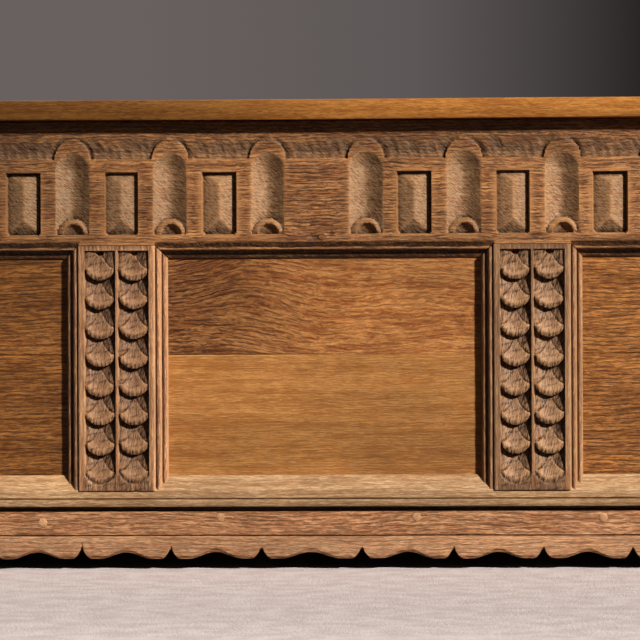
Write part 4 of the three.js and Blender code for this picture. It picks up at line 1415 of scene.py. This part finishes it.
        # Painted shade on the facets right of the middle, under the border wall, and on each scale's upper
        # part away from its lit bulge, with a little over the whole column.
        dirt_and_shade_tone += np.where((over > 0) & (dx > 0), 0.4, 0)
        dirt_and_shade_tone += 0.12 + 0.4 * np.clip((share - 0.3) / 0.3, 0, 1)
        work.soil_and_shade += np.where(column, dirt_and_shade_tone, 0)
        groove = np.exp(-((below / 0.0009) ** 2)) * (shown < 0)
        work.depth += np.where(column, 0.0011 * groove, 0)


@dataclass
class Upright:
    """A carved member of the front that stands between the rails: a muntin or a post.

    Attributes:
        front: The lines of the front.
        scales: The scales that it carries.
        cell: The width of its mesh's cells.
        fine: The width of the cells across a moulding.
        proud: How far a muntin's face stands out.
        arris: How far from a muntin's edge its wear begins.
        post_width: The width of a post.
        post_depth: The depth of a post.
        scales_end: The lowest and the highest line of a post's fine cells.
        painted_moulding_shadow: How much painted shadow darkens the left muntin's outer moulding.
    """

    front: Front
    scales: Scales = field(default_factory=Scales)
    cell: float = 0.00115
    fine: float = 0.00045
    proud: float = 0.002
    arris: float = 0.0016
    post_width: float = 0.1
    post_depth: float = 0.05
    scales_end: tuple[float, float] = (0.095, 0.388)
    painted_moulding_shadow: float = 0.6

    def muntin(self, side: str, middle: float, material: Material, seed: int) -> None:
        """Carves a muntin and puts it in place of its CAD node.

        Args:
            side: Which muntin it is.
            middle: Where it stands.
            material: Its finish.
            seed: What its small differences are drawn from.
        """
        edge = self.front
        half, wide = edge.muntin_half, edge.muntin_half + edge.moulding_width
        columns = lines((-wide, -half, self.fine), (-half, half, self.cell), (half, wide, self.fine))
        low, high = edge.sill_bottom + CLEARANCE, edge.mitre_top - CLEARANCE
        work = Relief(columns, lines((low, high, self.cell)))
        self.scales.carve(work, 0.0, -self.proud, self.cell, seed)
        away = np.abs(work.x) - half
        plain = (away <= 0) & (work.cut < 0.5)
        work.depth = np.where(plain, work.depth - self.proud, work.depth)
        near_edge = np.clip(1 + away / self.arris, 0, 1)
        work.depth += np.where(away <= 0, 0.0009 * near_edge**2, 0)
        moulded = away > 1e-6
        work.depth = np.where(moulded, edge.moulding(np.maximum(away, 0)), work.depth)
        foot = edge.scribed(work.depth)
        top = high - np.maximum(away, 0)
        lowered = foot + (work.z - low) * (top - foot) / (high - low)
        work.z = np.where(moulded, lowered, work.z)
        work.depth += wander(work.x, work.z, seed + 5, 0.0002, 0.15)
        # Painted shadow over the left muntin's outer moulding, the side away from the light.
        if side == "left":
            work.soil_and_shade += np.where(work.x < -half, self.painted_moulding_shadow, 0)
        work.x = work.x + middle
        obj = work.build("muntin_" + side + "_carved", edge.face, 0.032)
        finish_piece(obj, "chest", "oak_pale", material, "front_muntin_" + side)

    def post(self, side: str, material: Material, seed: int) -> None:
        """Carves a post with its moulded edge and puts it in place of its CAD node.

        Args:
            side: Which post it is.
            material: Its finish.
            seed: What its small differences are drawn from.
        """
        edge = self.front
        inner, outer = edge.stile, edge.stile + self.post_width
        cell, foot = self.cell * 1.2, 0.004
        low, high = self.scales_end
        columns = lines(
            (inner, inner + 0.003, 0.0008),
            (inner + 0.003, outer - 0.004, cell),
            (outer - 0.004, outer, 0.0008),
        )
        rows = lines(
            (0.0, foot, 0.001),
            (foot, low, 0.006),
            (low, high, cell),
            (high, edge.top - 0.003, 0.006),
            (edge.top - 0.003, edge.top, 0.001),
        )
        work = Relief(columns, rows)
        self.scales.carve(work, (inner + outer) / 2, 0.0, cell, seed)
        work.soften_sides(0.0028, left=False)
        work.depth += wander(work.x, work.z, seed + 5, 0.0003, 0.2)
        work.depth += 0.0016 * np.clip(1 - work.z / foot, 0, 1) ** 2
        mirror = side == "left"
        post = work.build("post_" + side + "_carved", edge.face, self.post_depth, mirror)
        strip = self._moulded_edge("post_" + side + "_moulding", mirror)
        pick(post, strip)
        bpy.ops.object.join()
        finish_piece(post, "chest", "oak_pale", material, "front_post_" + side)

    def _moulded_edge(self, name: str, mirror: bool) -> Object:
        """Makes the moulding on a post's inner edge, scribed and mitred as a muntin's is.

        Args:
            name: The name of the new object.
            mirror: Whether it is the left post's.

        Returns:
            The mesh object.
        """
        edge = self.front
        columns = lines((edge.stile - edge.moulding_width, edge.stile, self.fine))
        low, high = edge.sill_bottom + CLEARANCE, edge.mitre_top - CLEARANCE
        work = Relief(columns, lines((low, high, 0.005)))
        away = edge.stile - work.x
        work.depth = edge.moulding(away)
        foot = edge.scribed(work.depth)
        work.z = foot + (work.z - low) * (high - away - foot) / (high - low)
        return work.build(name, edge.face, self.post_depth, mirror)


@dataclass
class BottomRail:
    """The front's bottom rail: its sloping sill, plain strip, scratched groove and bead.

    Attributes:
        front: The lines of the front.
        bead: The radius of the bead.
        proud: How far the bead stands out.
        groove: The height of the scratched groove over the bead.
        thickness: The thickness of the rail.
        bottom: The height of its lower edge, behind the apron.
        tongue: The depth at which its thin part begins.
        over_apron: How far above the apron's top the bead begins.
        bead_darkening: How much darker the bead and below are made: a browner tone and painted shade.
    """

    front: Front
    bead: float = 0.0043
    proud: float = 0.0015
    groove: float = 0.0015
    thickness: float = 0.040
    bottom: float = 0.029
    tongue: float = 0.0243
    over_apron: float = 0.0062
    bead_darkening: float = 0.3

    def _strip(self) -> float:
        """Returns the height at which the plain strip over the bead begins."""
        return self.front.apron_top + self.over_apron + 2 * self.bead + self.groove

    def _section(self) -> list[tuple[float, float]]:
        """Draws the rail's section, worn along its arrises.

        Returns:
            The section's points of depth and height.
        """
        edge = self.front
        low = edge.apron_top + self.over_apron
        bead = [
            (-self.proud * math.cos(turn), low + self.bead * (1 + math.sin(turn)))
            for turn in np.linspace(-math.pi / 2, math.pi / 2, 9)
        ]
        strip, sill, top = self._strip(), edge.sill_bottom, edge.sill_top
        face = [(0.002, strip - self.groove), (0.0022, strip - 0.0004)]
        face += [(0.0005, strip), (0.0, strip + 0.0008)]
        face += [(0.0, strip + (sill - strip) * t) for t in (0.3, 0.6, 0.9)]
        slope = [(edge.moulding_depth * t, sill + (top - sill) * t) for t in np.linspace(0.04, 0.97, 8)]
        ledge = [(d, top) for d in (0.0136, 0.0147, 0.026, 0.039)]
        inside = [(self.thickness, top - 0.001), (self.thickness, self.bottom), (self.tongue, self.bottom)]
        return bead + face + slope + ledge + inside + [(self.tongue, low + 0.0002)]

    def build(self, material: Material) -> None:
        """Sweeps the rail and puts it in place of its CAD node.

        Args:
            material: Its finish.
        """
        reach = self.front.stile - CLEARANCE
        section = [(self.front.face + d, z) for d, z in self._section()]
        obj = swept("bottom_rail_moulded", section, lines((-reach, reach, 0.006)), 0.00022, 41)
        # Darkens the bead and what lies below it: a browner tone and painted shade.
        set_mask(obj, "hollow", np.where(points(obj)[:, 2] < self._strip() - 0.0002, self.bead_darkening, 0.0))
        smooth(obj, 30.0)
        finish_piece(obj, "chest", "oak_brown", material, "front_bottom_rail")


@dataclass
class Apron:
    """The board under the bottom rail, with its scalloped lower edge.

    Attributes:
        front: The lines of the front.
        low: The height of the scallops' lobes.
        set_back: The depth of its face.
        thickness: The thickness of the board.
        pitch: From arch to arch.
        shift: How far the middle arch is off the chest's middle.
        cusp: How high the cusps rise.
        arch: How high the arches rise.
        cusp_share: The share of the pitch from a cusp to its lobe.
        lobe_share: The share of the pitch from a cusp to the lobe's far end.
        chamfer: The height of the bevel along the edge.
        drift: How far the scallops beside the middle are set outwards.
        scribed: The height of the scribed line.
    """

    front: Front
    low: float = 0.013
    set_back: float = 0.006
    thickness: float = 0.018
    pitch: float = 0.109
    shift: float = -0.016
    cusp: float = 0.014
    arch: float = 0.008
    cusp_share: float = 0.1
    lobe_share: float = 0.2
    chamfer: float = 0.0055
    drift: float = 0.008
    scribed: float = 0.0408

    def edge_height(self, x: Array) -> Array:
        """Draws the scallops.

        Args:
            x: Places along the board.

        Returns:
            How high the lower edge is at each of them.
        """
        drift = self.drift * np.tanh((x + 0.01) / 0.06) * np.exp(-(x / 0.42) ** 2)
        turns = np.abs(x - drift - self.shift)
        away = np.abs(turns / self.pitch % 1 - 0.5)
        cusp = self.cusp * (1 - np.clip(away / self.cusp_share, 0, 1)) ** 1.8
        climb = np.clip((away - self.lobe_share) / (0.5 - self.lobe_share), 0, 1)
        arch = self.arch * (1 - np.cos(climb * math.pi)) / 2
        return self.low + np.where(away < self.cusp_share, cusp, arch)

    def build(self, material: Material) -> None:
        """Shapes the board and puts it in place of its CAD node.

        Args:
            material: Its finish.
        """
        reach = self.front.stile - CLEARANCE
        top, line = self.front.apron_top, self.scribed
        under_line, over_line = line - 0.0012, line + 0.0014
        band = lines((0.0, 0.2, 0.012), (0.2, 0.45, 0.05), (0.45, 1.0, 0.1))
        upper = lines(
            (under_line, over_line, 0.0002), (over_line, top - 0.001, 0.004), (top - 0.001, top, 0.0005)
        )
        # The rows under the line start as shares of its height, less one, and follow the scallops.
        work = Relief(lines((-reach, reach, 0.0022)), np.concatenate([band[:-1] - 1, upper]))
        low = self.edge_height(work.x) + wander(work.x, work.z * 0, 55, 0.0004, 0.13)
        share = np.clip(work.z + 1, 0, 1)
        work.z = np.where(work.z < 0, low + share * (under_line - low), work.z)
        steep = np.abs(np.gradient(low[0], work.x[0]))[None, :]
        wide = self.chamfer * (0.7 + 0.35 * np.clip((low - self.low) / self.arch, 0, 1)) / (1 + 2.2 * steep)
        bevelled = np.clip(1 - (work.z - low) / wide, 0, 1)
        from_line = work.z - line - wander(work.x, work.z * 0, 56, 0.0003, 0.3)
        work.depth = 0.0017 * bevelled
        work.depth += 0.0024 * np.exp(-((from_line / 0.0007) ** 2)) + 0.0008 * (work.z > top - 0.0004)
        work.depth += wander(work.x, work.z, 57, 0.0003, 0.2)
        work.cut = np.where((work.z < line) & (bevelled <= 0), 0.4, 0.0)
        work.soil_and_shade = 0.7 * np.exp(-((from_line / 0.0008) ** 2)) + 0.16 * (bevelled > 0)
        obj = work.build("apron_scalloped", self.front.face + self.set_back, self.thickness)
        finish_piece(obj, "chest", "oak_pale", material, "front_apron")


@dataclass
class Pegs:
    """The riven pegs, trimmed near flush.

    Attributes:
        proud: How far a peg stands out.
        sides: How many sides it has.
        facets: How many cuts of the knife show round it.
        inset: The share of its radius that its end's bevel takes.
    """

    proud: float = 0.0001
    sides: int = 14
    facets: int = 7
    inset: float = 0.22

    def build(self, node: str, material: Material, seed: int) -> None:
        """Whittles a peg and puts it in place of its CAD node.

        Args:
            node: The name of the CAD node.
            material: Its finish.
            seed: What its facets are drawn from.
        """
        low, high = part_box(node)
        centre, radius = (low + high) / 2, (high.x - low.x) / 2
        rng = np.random.default_rng(seed)
        bpy.ops.object.select_all(action="DESELECT")
        bpy.ops.mesh.primitive_cylinder_add(
            vertices=self.sides,
            radius=radius,
            depth=high.y - low.y + self.proud,
            rotation=(math.pi / 2, 0, 0),
        )
        obj = added(node + "_riven")
        bpy.ops.object.transform_apply(location=True, rotation=True, scale=True)
        places = points(obj)
        facet = rng.uniform(0.93, 1.0, self.facets)
        turn = np.arctan2(places[:, 2], places[:, 0])
        size = facet[((turn + math.pi) / (2 * math.pi) * (self.facets - 0.01)).astype(int)]
        places[:, [0, 2]] *= size[:, None]
        move_points(obj, places)
        bpy.ops.object.mode_set(mode="EDIT")
        bpy.ops.mesh.select_all(action="DESELECT")
        bpy.ops.object.mode_set(mode="OBJECT")
        for face in obj.data.polygons:
            face.select = face.normal.y < -0.9
        bpy.ops.object.mode_set(mode="EDIT")
        bpy.ops.mesh.inset(thickness=radius * self.inset, depth=0.0004)
        bpy.ops.object.mode_set(mode="OBJECT")
        places = points(obj)
        places += np.array([centre.x, (low.y + high.y - self.proud) / 2, centre.z])
        move_points(obj, places)
        bevel(obj, 0.0003, 50.0, 1)
        smooth(obj, 30.0)
        finish_piece(obj, "chest", "peg_oak", material, node)


@dataclass
class PanelBoards:
    """The front's panels, each of two boards side by side.

    Attributes:
        front: The lines of the front.
        cell: The width of the mesh's cells.
        rim: The height of the fine rows along a board's edges.
    """

    front: Front
    cell: float = 0.005
    rim: float = 0.002

    def build(self, node: str, material: Material, seed: int) -> None:
        """Planes a board by hand and puts it in place of its CAD node.

        Args:
            node: The name of the CAD node.
            material: Its finish.
            seed: What its unevenness is drawn from.
        """
        low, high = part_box(node)
        columns = lines((low.x, high.x, self.cell))
        first, last = low.z + self.rim, high.z - self.rim
        rows = lines((low.z, first, 0.0005), (first, last, self.cell), (last, high.z, 0.0005))
        work = Relief(columns, rows)
        gap = work.z - low.z if node.endswith("upper") else high.z - work.z
        worn = 0.0009 * np.clip(0.35 - work.x / 0.2, 0.06, 1) if "centre" in node else 0.0008
        work.depth = worn * np.clip(1 - gap / 0.0018, 0, 1) ** 2
        scallop = 0.00018 * np.sin(work.z / 0.0062 + 2 * np.sin(work.x * 9 + seed))
        work.depth += np.abs(wander(work.x, work.z, seed, 0.0005, 0.24)) + 0.0002 + scallop
        obj = work.build(node + "_planed", low.y, high.y - low.y)
        finish_piece(obj, "chest", "oak_gold", material, node)


@dataclass
class Lid:
    """The planks of the lid and the cleats under its ends.

    Attributes:
        nose: How far back the rounding of the front plank's edge reaches.
        arris: The rounding of the other edges.
        dip: How far the nose dips near its middle.
        nose_heights: The nose's section from the top: heights over its middle, in half thicknesses.
        nose_falls: How far back it is at each of them, in the nose's reach.
    """

    nose: float = 0.010
    arris: float = 0.0016
    dip: float = 0.0017
    nose_heights: tuple[float, ...] = (
        1.0, 0.99, 0.94, 0.85, 0.7, 0.5, 0.25, 0, -0.3, -0.6, -0.82, -0.93, -0.985, -1.0
    )
    nose_falls: tuple[float, ...] = (
        1, 0.7, 0.42, 0.24, 0.11, 0.04, 0.0, 0, 0.02, 0.06, 0.11, 0.14, 0.18, 0.26
    )

    def _section(self, low: Vector, high: Vector, nosed: bool) -> list[tuple[float, float]]:
        """Draws a plank's section.

        Args:
            low: The low corner of the plank.
            high: Its high corner.
            nosed: Whether its front edge is a rounded nose.

        Returns:
            The section's points of y and z.
        """

        def corner(cy: float, cz: float, radius: float, start: float) -> list[tuple[float, float]]:
            """Draws a quarter round from an angle in degrees, turning forwards."""
            turns = np.radians(np.linspace(start, start + 90, 4))
            return [(cy + radius * math.cos(t), cz + radius * math.sin(t)) for t in turns]

        back, middle, half = self.arris, (low.z + high.z) / 2, (high.z - low.z) / 2
        ring = [(y, low.z) for y in np.linspace(low.y + 0.02, high.y - 0.01, 8)]
        ring += corner(high.y - back, low.z + back, back, 270)
        ring += corner(high.y - back, high.z - back, back, 0)
        ring += [(y, high.z) for y in np.linspace(high.y - 0.01, low.y + 0.02, 12)]
        if nosed:
            nose = zip(self.nose_falls, self.nose_heights)
            return ring + [(low.y + self.nose * fall, middle + half * rise) for fall, rise in nose]
        ring += corner(low.y + back, high.z - back, back, 90)
        return ring + corner(low.y + back, low.z + back, back, 180)

    def plank(self, node: str, material: Material, seed: int) -> None:
        """Planes a plank and puts it in place of its CAD node.

        Args:
            node: The name of the CAD node.
            material: Its finish.
            seed: What its unevenness is drawn from.
        """
        low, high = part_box(node)
        along = lines((low.x, high.x, 0.012))
        section = self._section(low, high, node.endswith("front"))
        obj = swept(node + "_planed", section, along, 0.0, seed)
        places = points(obj)
        top = places[:, 2] > high.z - 0.0005
        places[:, 2] -= np.where(top, np.abs(wander(places[:, 0], places[:, 1], seed, 0.0004, 0.3)), 0)
        if node.endswith("front"):
            behind = 0.012
            nose = np.clip((low.y + behind - places[:, 1]) / behind, 0, 1)
            places[:, 1] += nose * np.abs(wander(places[:, 0], places[:, 2] * 0, seed + 1, 0.0006, 0.34))
            places[:, 2] -= nose * self.dip * np.exp(-(((places[:, 0] + 0.06) / 0.24) ** 2))
        move_points(obj, places)
        bevel(obj, 0.002, 60.0, 3)
        smooth(obj, 40.0)
        finish_piece(obj, "lid", "oak_gold", material, node)

    def cleat(self, node: str, material: Material) -> None:
        """Rounds a cleat and puts it in place of its CAD node."""
        obj = dressed_copy(node, 0.0022)
        finish_piece(obj, "lid", "oak_gold", material, node)


@dataclass
class Carcase:
    """The plain timbers: the back and end frames, the back posts and the floor.

    Attributes:
        arris: How far their edges are rounded.
    """

    arris: float = 0.0013

    def timber(self, node: str, material: Material) -> None:
        """Dresses a plain timber and puts it in place of its CAD node."""
        obj = dressed_copy(node, self.arris)
        finish_piece(obj, "chest", "oak_dry", material, node)


@dataclass
class Hinges:
    """The forged hinges: a leaf under the lid, a leaf on the back and the pin between.

    Attributes:
        arris: How far the iron's edges are rounded.
        nail_radius: The radius of a nail's head.
        nails: How far below the first nail's line the nails of the back leaf are.
        first_nail: How far below the leaf's top that line is.
        stagger: How far the nails are off the leaf's middle, to either side by turns.
        behind: How far behind the plain face of the front the middle of a nail's head is.
    """

    arris: float = 0.0006
    nail_radius: float = 0.0042
    nails: tuple[float, ...] = (0.022, 0.046, 0.068)
    first_nail: float = 0.0065
    stagger: float = 0.007
    behind: float = 0.504

    def _nail(self, name: str, place: Place) -> Object:
        """Forges the head of a nail, facing the back.

        Args:
            name: The name of the new object.
            place: Where the middle of the head is.

        Returns:
            The mesh object.
        """
        bpy.ops.object.select_all(action="DESELECT")
        turn = Vector((0, 0, 1)).rotation_difference(Vector((0, 1, 0))).to_euler()
        radius = self.nail_radius
        bpy.ops.mesh.primitive_cone_add(
            vertices=10, radius1=radius, radius2=radius * 0.45, depth=0.0016, rotation=turn
        )
        head = added(name)
        bpy.ops.object.transform_apply(location=True, rotation=True, scale=True)
        move_points(head, points(head) + np.array(place))
        bevel(head, 0.0005, 30.0, 2)
        smooth(head, 50.0)
        return head

    def build(self, side: str, material: Material) -> None:
        """Forges one hinge and puts its pieces in place of their CAD nodes.

        Args:
            side: Which hinge it is.
            material: Its finish.
        """
        stem = "hinge_" + side + "_"
        back = dressed_copy(stem + "back_leaf", self.arris)
        low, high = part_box(stem + "back_leaf")
        middle, top = (low.x + high.x) / 2, high.z - self.first_nail
        face = Front().face + self.behind
        heads = []
        for i, down in enumerate(self.nails):
            across = middle + (self.stagger if i % 2 else -self.stagger)
            heads.append(self._nail(stem + "nail_" + str(i), (across, face, top - down)))
        pick(back, *heads)
        bpy.ops.object.join()
        finish_piece(back, "chest", "iron", material, stem + "back_leaf")
        lid = dressed_copy(stem + "lid_leaf", self.arris)
        finish_piece(lid, "lid", "iron", material, stem + "lid_leaf")
        pin = dressed_copy(stem + "pin", self.arris * 1.5)
        finish_piece(pin, "chest", "iron", material, stem + "pin")


@dataclass
class Studio:
    """The floor, the lamps, the plain background and the camera.

    Attributes:
        distance: From the camera to the chest's front.
        width: How much of the front the picture takes in.
        centre: What the camera looks at, on the plane of the front.
        swing: How far the camera stands to the right, in degrees.
        roll: How far it is tilted, in degrees.
        aim: What the lamps face.
        key_spread: How wide the key lamp looks from the chest, in radians.
    """

    distance: float = 3.0
    width: float = 0.768
    centre: Place = (-0.0048, -0.24675, 0.300)
    swing: float = 1.43
    roll: float = 0.237
    aim: Place = (0.05, -0.24, 0.32)
    key_spread: float = 0.088

    def camera(self) -> None:
        """Stands the camera a little to the right of the middle, near the floor."""
        lens = bpy.data.cameras.new("camera")
        lens.lens = lens.sensor_width * self.distance / self.width
        lens.clip_end = 60.0
        obj = bpy.data.objects.new("camera", lens)
        bpy.context.scene.collection.objects.link(obj)
        turn = math.radians(self.swing)
        back = Vector((math.sin(turn), -math.cos(turn), 0.0))
        obj.location = Vector(self.centre) + back * self.distance
        obj.rotation_euler = (math.pi / 2, math.radians(self.roll), turn)
        bpy.context.scene.camera = obj

    def _hang(self, light: bpy.types.Light, place: Place, power: float, colour: Colour) -> None:
        """Hangs a lamp and aims it at the front of the chest.

        Args:
            light: The lamp.
            place: Where it hangs.
            power: Its power, or a far lamp's strength.
            colour: Its colour.
        """
        light.energy = power
        light.color = colour
        obj = bpy.data.objects.new(light.name, light)
        bpy.context.scene.collection.objects.link(obj)
        obj.location = place
        aim = Vector(self.aim) - Vector(place)
        obj.rotation_mode = "QUATERNION"
        obj.rotation_quaternion = aim.to_track_quat("-Z", "Y")

    def lights(self) -> None:
        """Lights the front hard from the upper right, and the back from the upper left.

        The key lamp is so far off that it lights the floor as evenly as the chest.
        """
        key = bpy.data.lights.new("key", "SUN")
        key.angle = self.key_spread
        self._hang(key, (5.15, -4.88, 4.3), 6.75, (1.0, 0.97, 0.94))
        for name, place, size, power, colour in (
            ("fill", (-2.6, -3.2, 1.5), 2.4, 2.4, (0.95, 0.97, 1.0)),
            ("rear", (-3.0, 5.2, 5.6), 2.6, 330.0, (1.0, 0.98, 0.96)),
        ):
            disk = bpy.data.lights.new(name, "AREA")
            disk.shape = "DISK"
            disk.size = size
            self._hang(disk, place, power, colour)

    def surroundings(self) -> None:
        """Colours the background, which is darker to the right, and the air that lights the chest."""
        world = bpy.data.worlds.new("air")
        bpy.context.scene.world = world
        book = Recipe(world)
        way = book.node("SeparateXYZ", {0: book.node("TexCoord").outputs["Generated"]})
        across = book.node("MapRange", {"Value": way.outputs["X"], 1: -0.1, 2: 0.118, 3: 0.0, 4: 1.0})
        ramp = book.node("ValToRGB", {0: across.outputs[0]})
        stops = ramp.color_ramp.elements
        stops[0].color = (*srgb("69615f"), 1.0)
        stops[1].color = (*srgb("14110f"), 1.0)
        stops.new(0.52).color = (*srgb("5d5757"), 1.0)
        shown = book.node("Background", {"Color": ramp.outputs[0], "Strength": 1.0})
        air = book.node("Background", {"Color": (0.84, 0.87, 0.92, 1.0), "Strength": 0.025})
        blend = book.node("MixShader", {0: book.seen(), 1: air.outputs[0], 2: shown.outputs[0]})
        book.show(blend, "OutputWorld")

    def floor(self) -> None:
        """Lays the pale floor, which throws back less light than it shows."""
        bpy.ops.object.select_all(action="DESELECT")
        bpy.ops.mesh.primitive_plane_add(size=120.0, location=(0.0, 0.0, -0.0002))
        obj = bpy.context.object
        obj.name = "studio_floor"
        book = Recipe(bpy.data.materials.new("floor_cloth"))
        nap = book.noise(book.place(), 260.0, 3.0, 0.7)
        soft = book.noise(book.place(), 30.0, 3.0, 0.6)
        cloth = book.mix(book.between(soft, 0.3, 0.7), srgb("bdafaa"), srgb("cdc2be"))
        values = {
            "Base Color": book.mix(book.seen(), srgb("483f3a"), cloth),
            "Roughness": 0.95,
            "Specular IOR Level": 0.1,
            "Normal": book.bump(nap, 0.45, 0.003),
        }
        book.show(book.node("BsdfPrincipled", values))
        obj.data.materials.append(book.owner)


def finishes() -> dict[str, Material]:
    """Makes every finish of the chest.

    Returns:
        The finishes by name.
    """
    along, upright, inward = Grain.ALONG, Grain.UPRIGHT, Grain.INWARD
    carved = {"slant": 1.35, "stain": 0.4}
    waxed = {"roughness": 0.42}
    plain = {"light": "96714a", "dark": "634527", "pore": "2c1c10", "warm": "6d4627", "roughness": 0.7}
    oaks = [
        Oak("frieze_oak", along, light="bb8350", dark="7a4a28", pore="30180c", dry="a68763", lines=0.85,
            pitch=0.0042, slant=-0.7, shiver=0.002, fade=0.3, fade_end=-0.1, seed=1.3),
        Oak("muntin_left_oak", upright, light="c69469", dark="875b3d", dry="9c7450", pores=0.55,
            **carved, seed=4.1),
        Oak("muntin_right_oak", upright, light="b2875f", dark="855d41", dry="c39468", lines=0.5,
            **carved, seed=5.7),
        Oak(
            "post_oak", upright, light="b1845c", dark="775033", dry="c0a080", lines=0.6, slant=1.35, seed=8.2
        ),
        Oak("sill_oak", along, light="c7a277", dark="a17a53", pore="68401f", dry="d2a67e", warm="b4835a",
            lines=0.5, pores=0.4, stain=0.35, seed=2.9),
        Oak("apron_oak", along, light="d1986a", dark="986440", dry="bc9e7c", warm="a8643f", slant=0.1,
            fade=0.12, stain=0.4, seed=3.7),
        Oak("panel_upper_oak", along, light="bb8048", dark="874e22", pore="3f1c0c", warm="8f481d",
            lines=0.95, calm=0.45, pitch=0.0048, waviness=0.01, sway=6.0, shiver=0.002,
            crown=(-0.2, -0.085, 0.0), fade=0.3, fade_start=-0.2, fade_end=0.04, **waxed, seed=6.4),
        Oak("panel_lower_oak", along, light="b57f46", dark="935d2b", pore="6a3f1d", warm="ab6529",
            lines=0.4, pitch=0.0034, waviness=0.006, pores=0.35, flecks=0.4, blot=0.55, **waxed, seed=7.5),
        Oak("panel_side_oak", along, light="c17f41", dark="8a531e", pore="3a1c0c", warm="7e3f18",
            lines=0.75, waviness=0.014, fade=0.42, **waxed, seed=17.5),
        Oak("lid_oak", along, light="c6843e", dark="9f6128", pore="5a3417", warm="a05a22", lines=0.25,
            pitch=0.004, waviness=0.006, pores=0.4, flecks=0.45, stain=0.3, roughness=0.6, sheen=0.07,
            relief=0.25, fade=0.75, seed=9.1),
        Oak("plain_rail_oak", along, **plain, seed=10.2),
        Oak("plain_upright_oak", upright, **plain, seed=11.9),
        Oak("end_rail_oak", inward, **plain, seed=12.6),
        Oak("floor_board_oak", inward, light="8b7252", dark="62492f", pore="2c1c10", warm="6d4f33",
            roughness=0.8, seed=13.4),
        Oak("cleat_oak", inward, light="ab7440", dark="7b4e27", lines=0.4, roughness=0.45, seed=14.8),
        Oak("peg_oak", inward, light="c79870", dark="a6774e", pore="7d5635", warm="a87343", lines=0.0,
            pores=0.4, stain=0.3, roughness=0.6, seed=15.5),
    ]
    made = {oak.name: oak.make() for oak in oaks}
    made["forged_iron"] = Iron().make()
    return made


def dress_carcase(finish: dict[str, Material]) -> None:
    """Dresses every plain timber of the body that no carved piece stands for.

    Args:
        finish: The finishes by name.
    """
    carcase = Carcase()
    for node in sorted(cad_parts):
        if node.startswith("floor_board"):
            carcase.timber(node, finish["floor_board_oak"])
        elif node.startswith("back_"):
            upright = "post" in node or "muntin" in node
            carcase.timber(node, finish["plain_upright_oak" if upright else "plain_rail_oak"])
        elif "_end_" in node:
            carcase.timber(node, finish["end_rail_oak" if "rail" in node else "plain_upright_oak"])


def main() -> None:
    """Builds the chest from its front to its hinges, and then the studio round it."""
    logging.basicConfig(level=logging.INFO, format="%(name)s %(message)s")
    studio = Studio()
    studio.camera()
    finish = finishes()
    front = Front()
    TopRail(front).build(finish["frieze_oak"])
    upright = Upright(front)
    for seed, (side, middle) in enumerate(zip(("left", "right"), front.muntins)):
        upright.muntin(side, middle, finish["muntin_" + side + "_oak"], 70 + seed)
        upright.post(side, finish["post_oak"], 80 + seed)
    BottomRail(front).build(finish["sill_oak"])
    Apron(front).build(finish["apron_oak"])
    pegs = Pegs()
    boards = PanelBoards(front)
    for seed, node in enumerate(sorted(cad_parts)):
        if "peg" in node:
            wood = "frieze_oak" if node == "frieze_peg" else "peg_oak"
            pegs.build(node, finish[wood], 100 + seed)
        elif node.startswith("front_panel"):
            kind = "side" if "centre" not in node else node.split("_")[-1]
            boards.build(node, finish["panel_" + kind + "_oak"], 200 + seed)
    lid = Lid()
    for seed, place in enumerate(("front", "middle", "rear")):
        lid.plank("lid_plank_" + place, finish["lid_oak"], 300 + seed)
    hinges = Hinges()
    for side in ("left", "right"):
        lid.cleat("lid_cleat_" + side, finish["cleat_oak"])
        hinges.build(side, finish["forged_iron"])
    dress_carcase(finish)
    studio.floor()
    studio.lights()
    studio.surroundings()
    bpy.context.scene.view_settings.view_transform = "Standard"


if __name__ == "__main__":
    main()
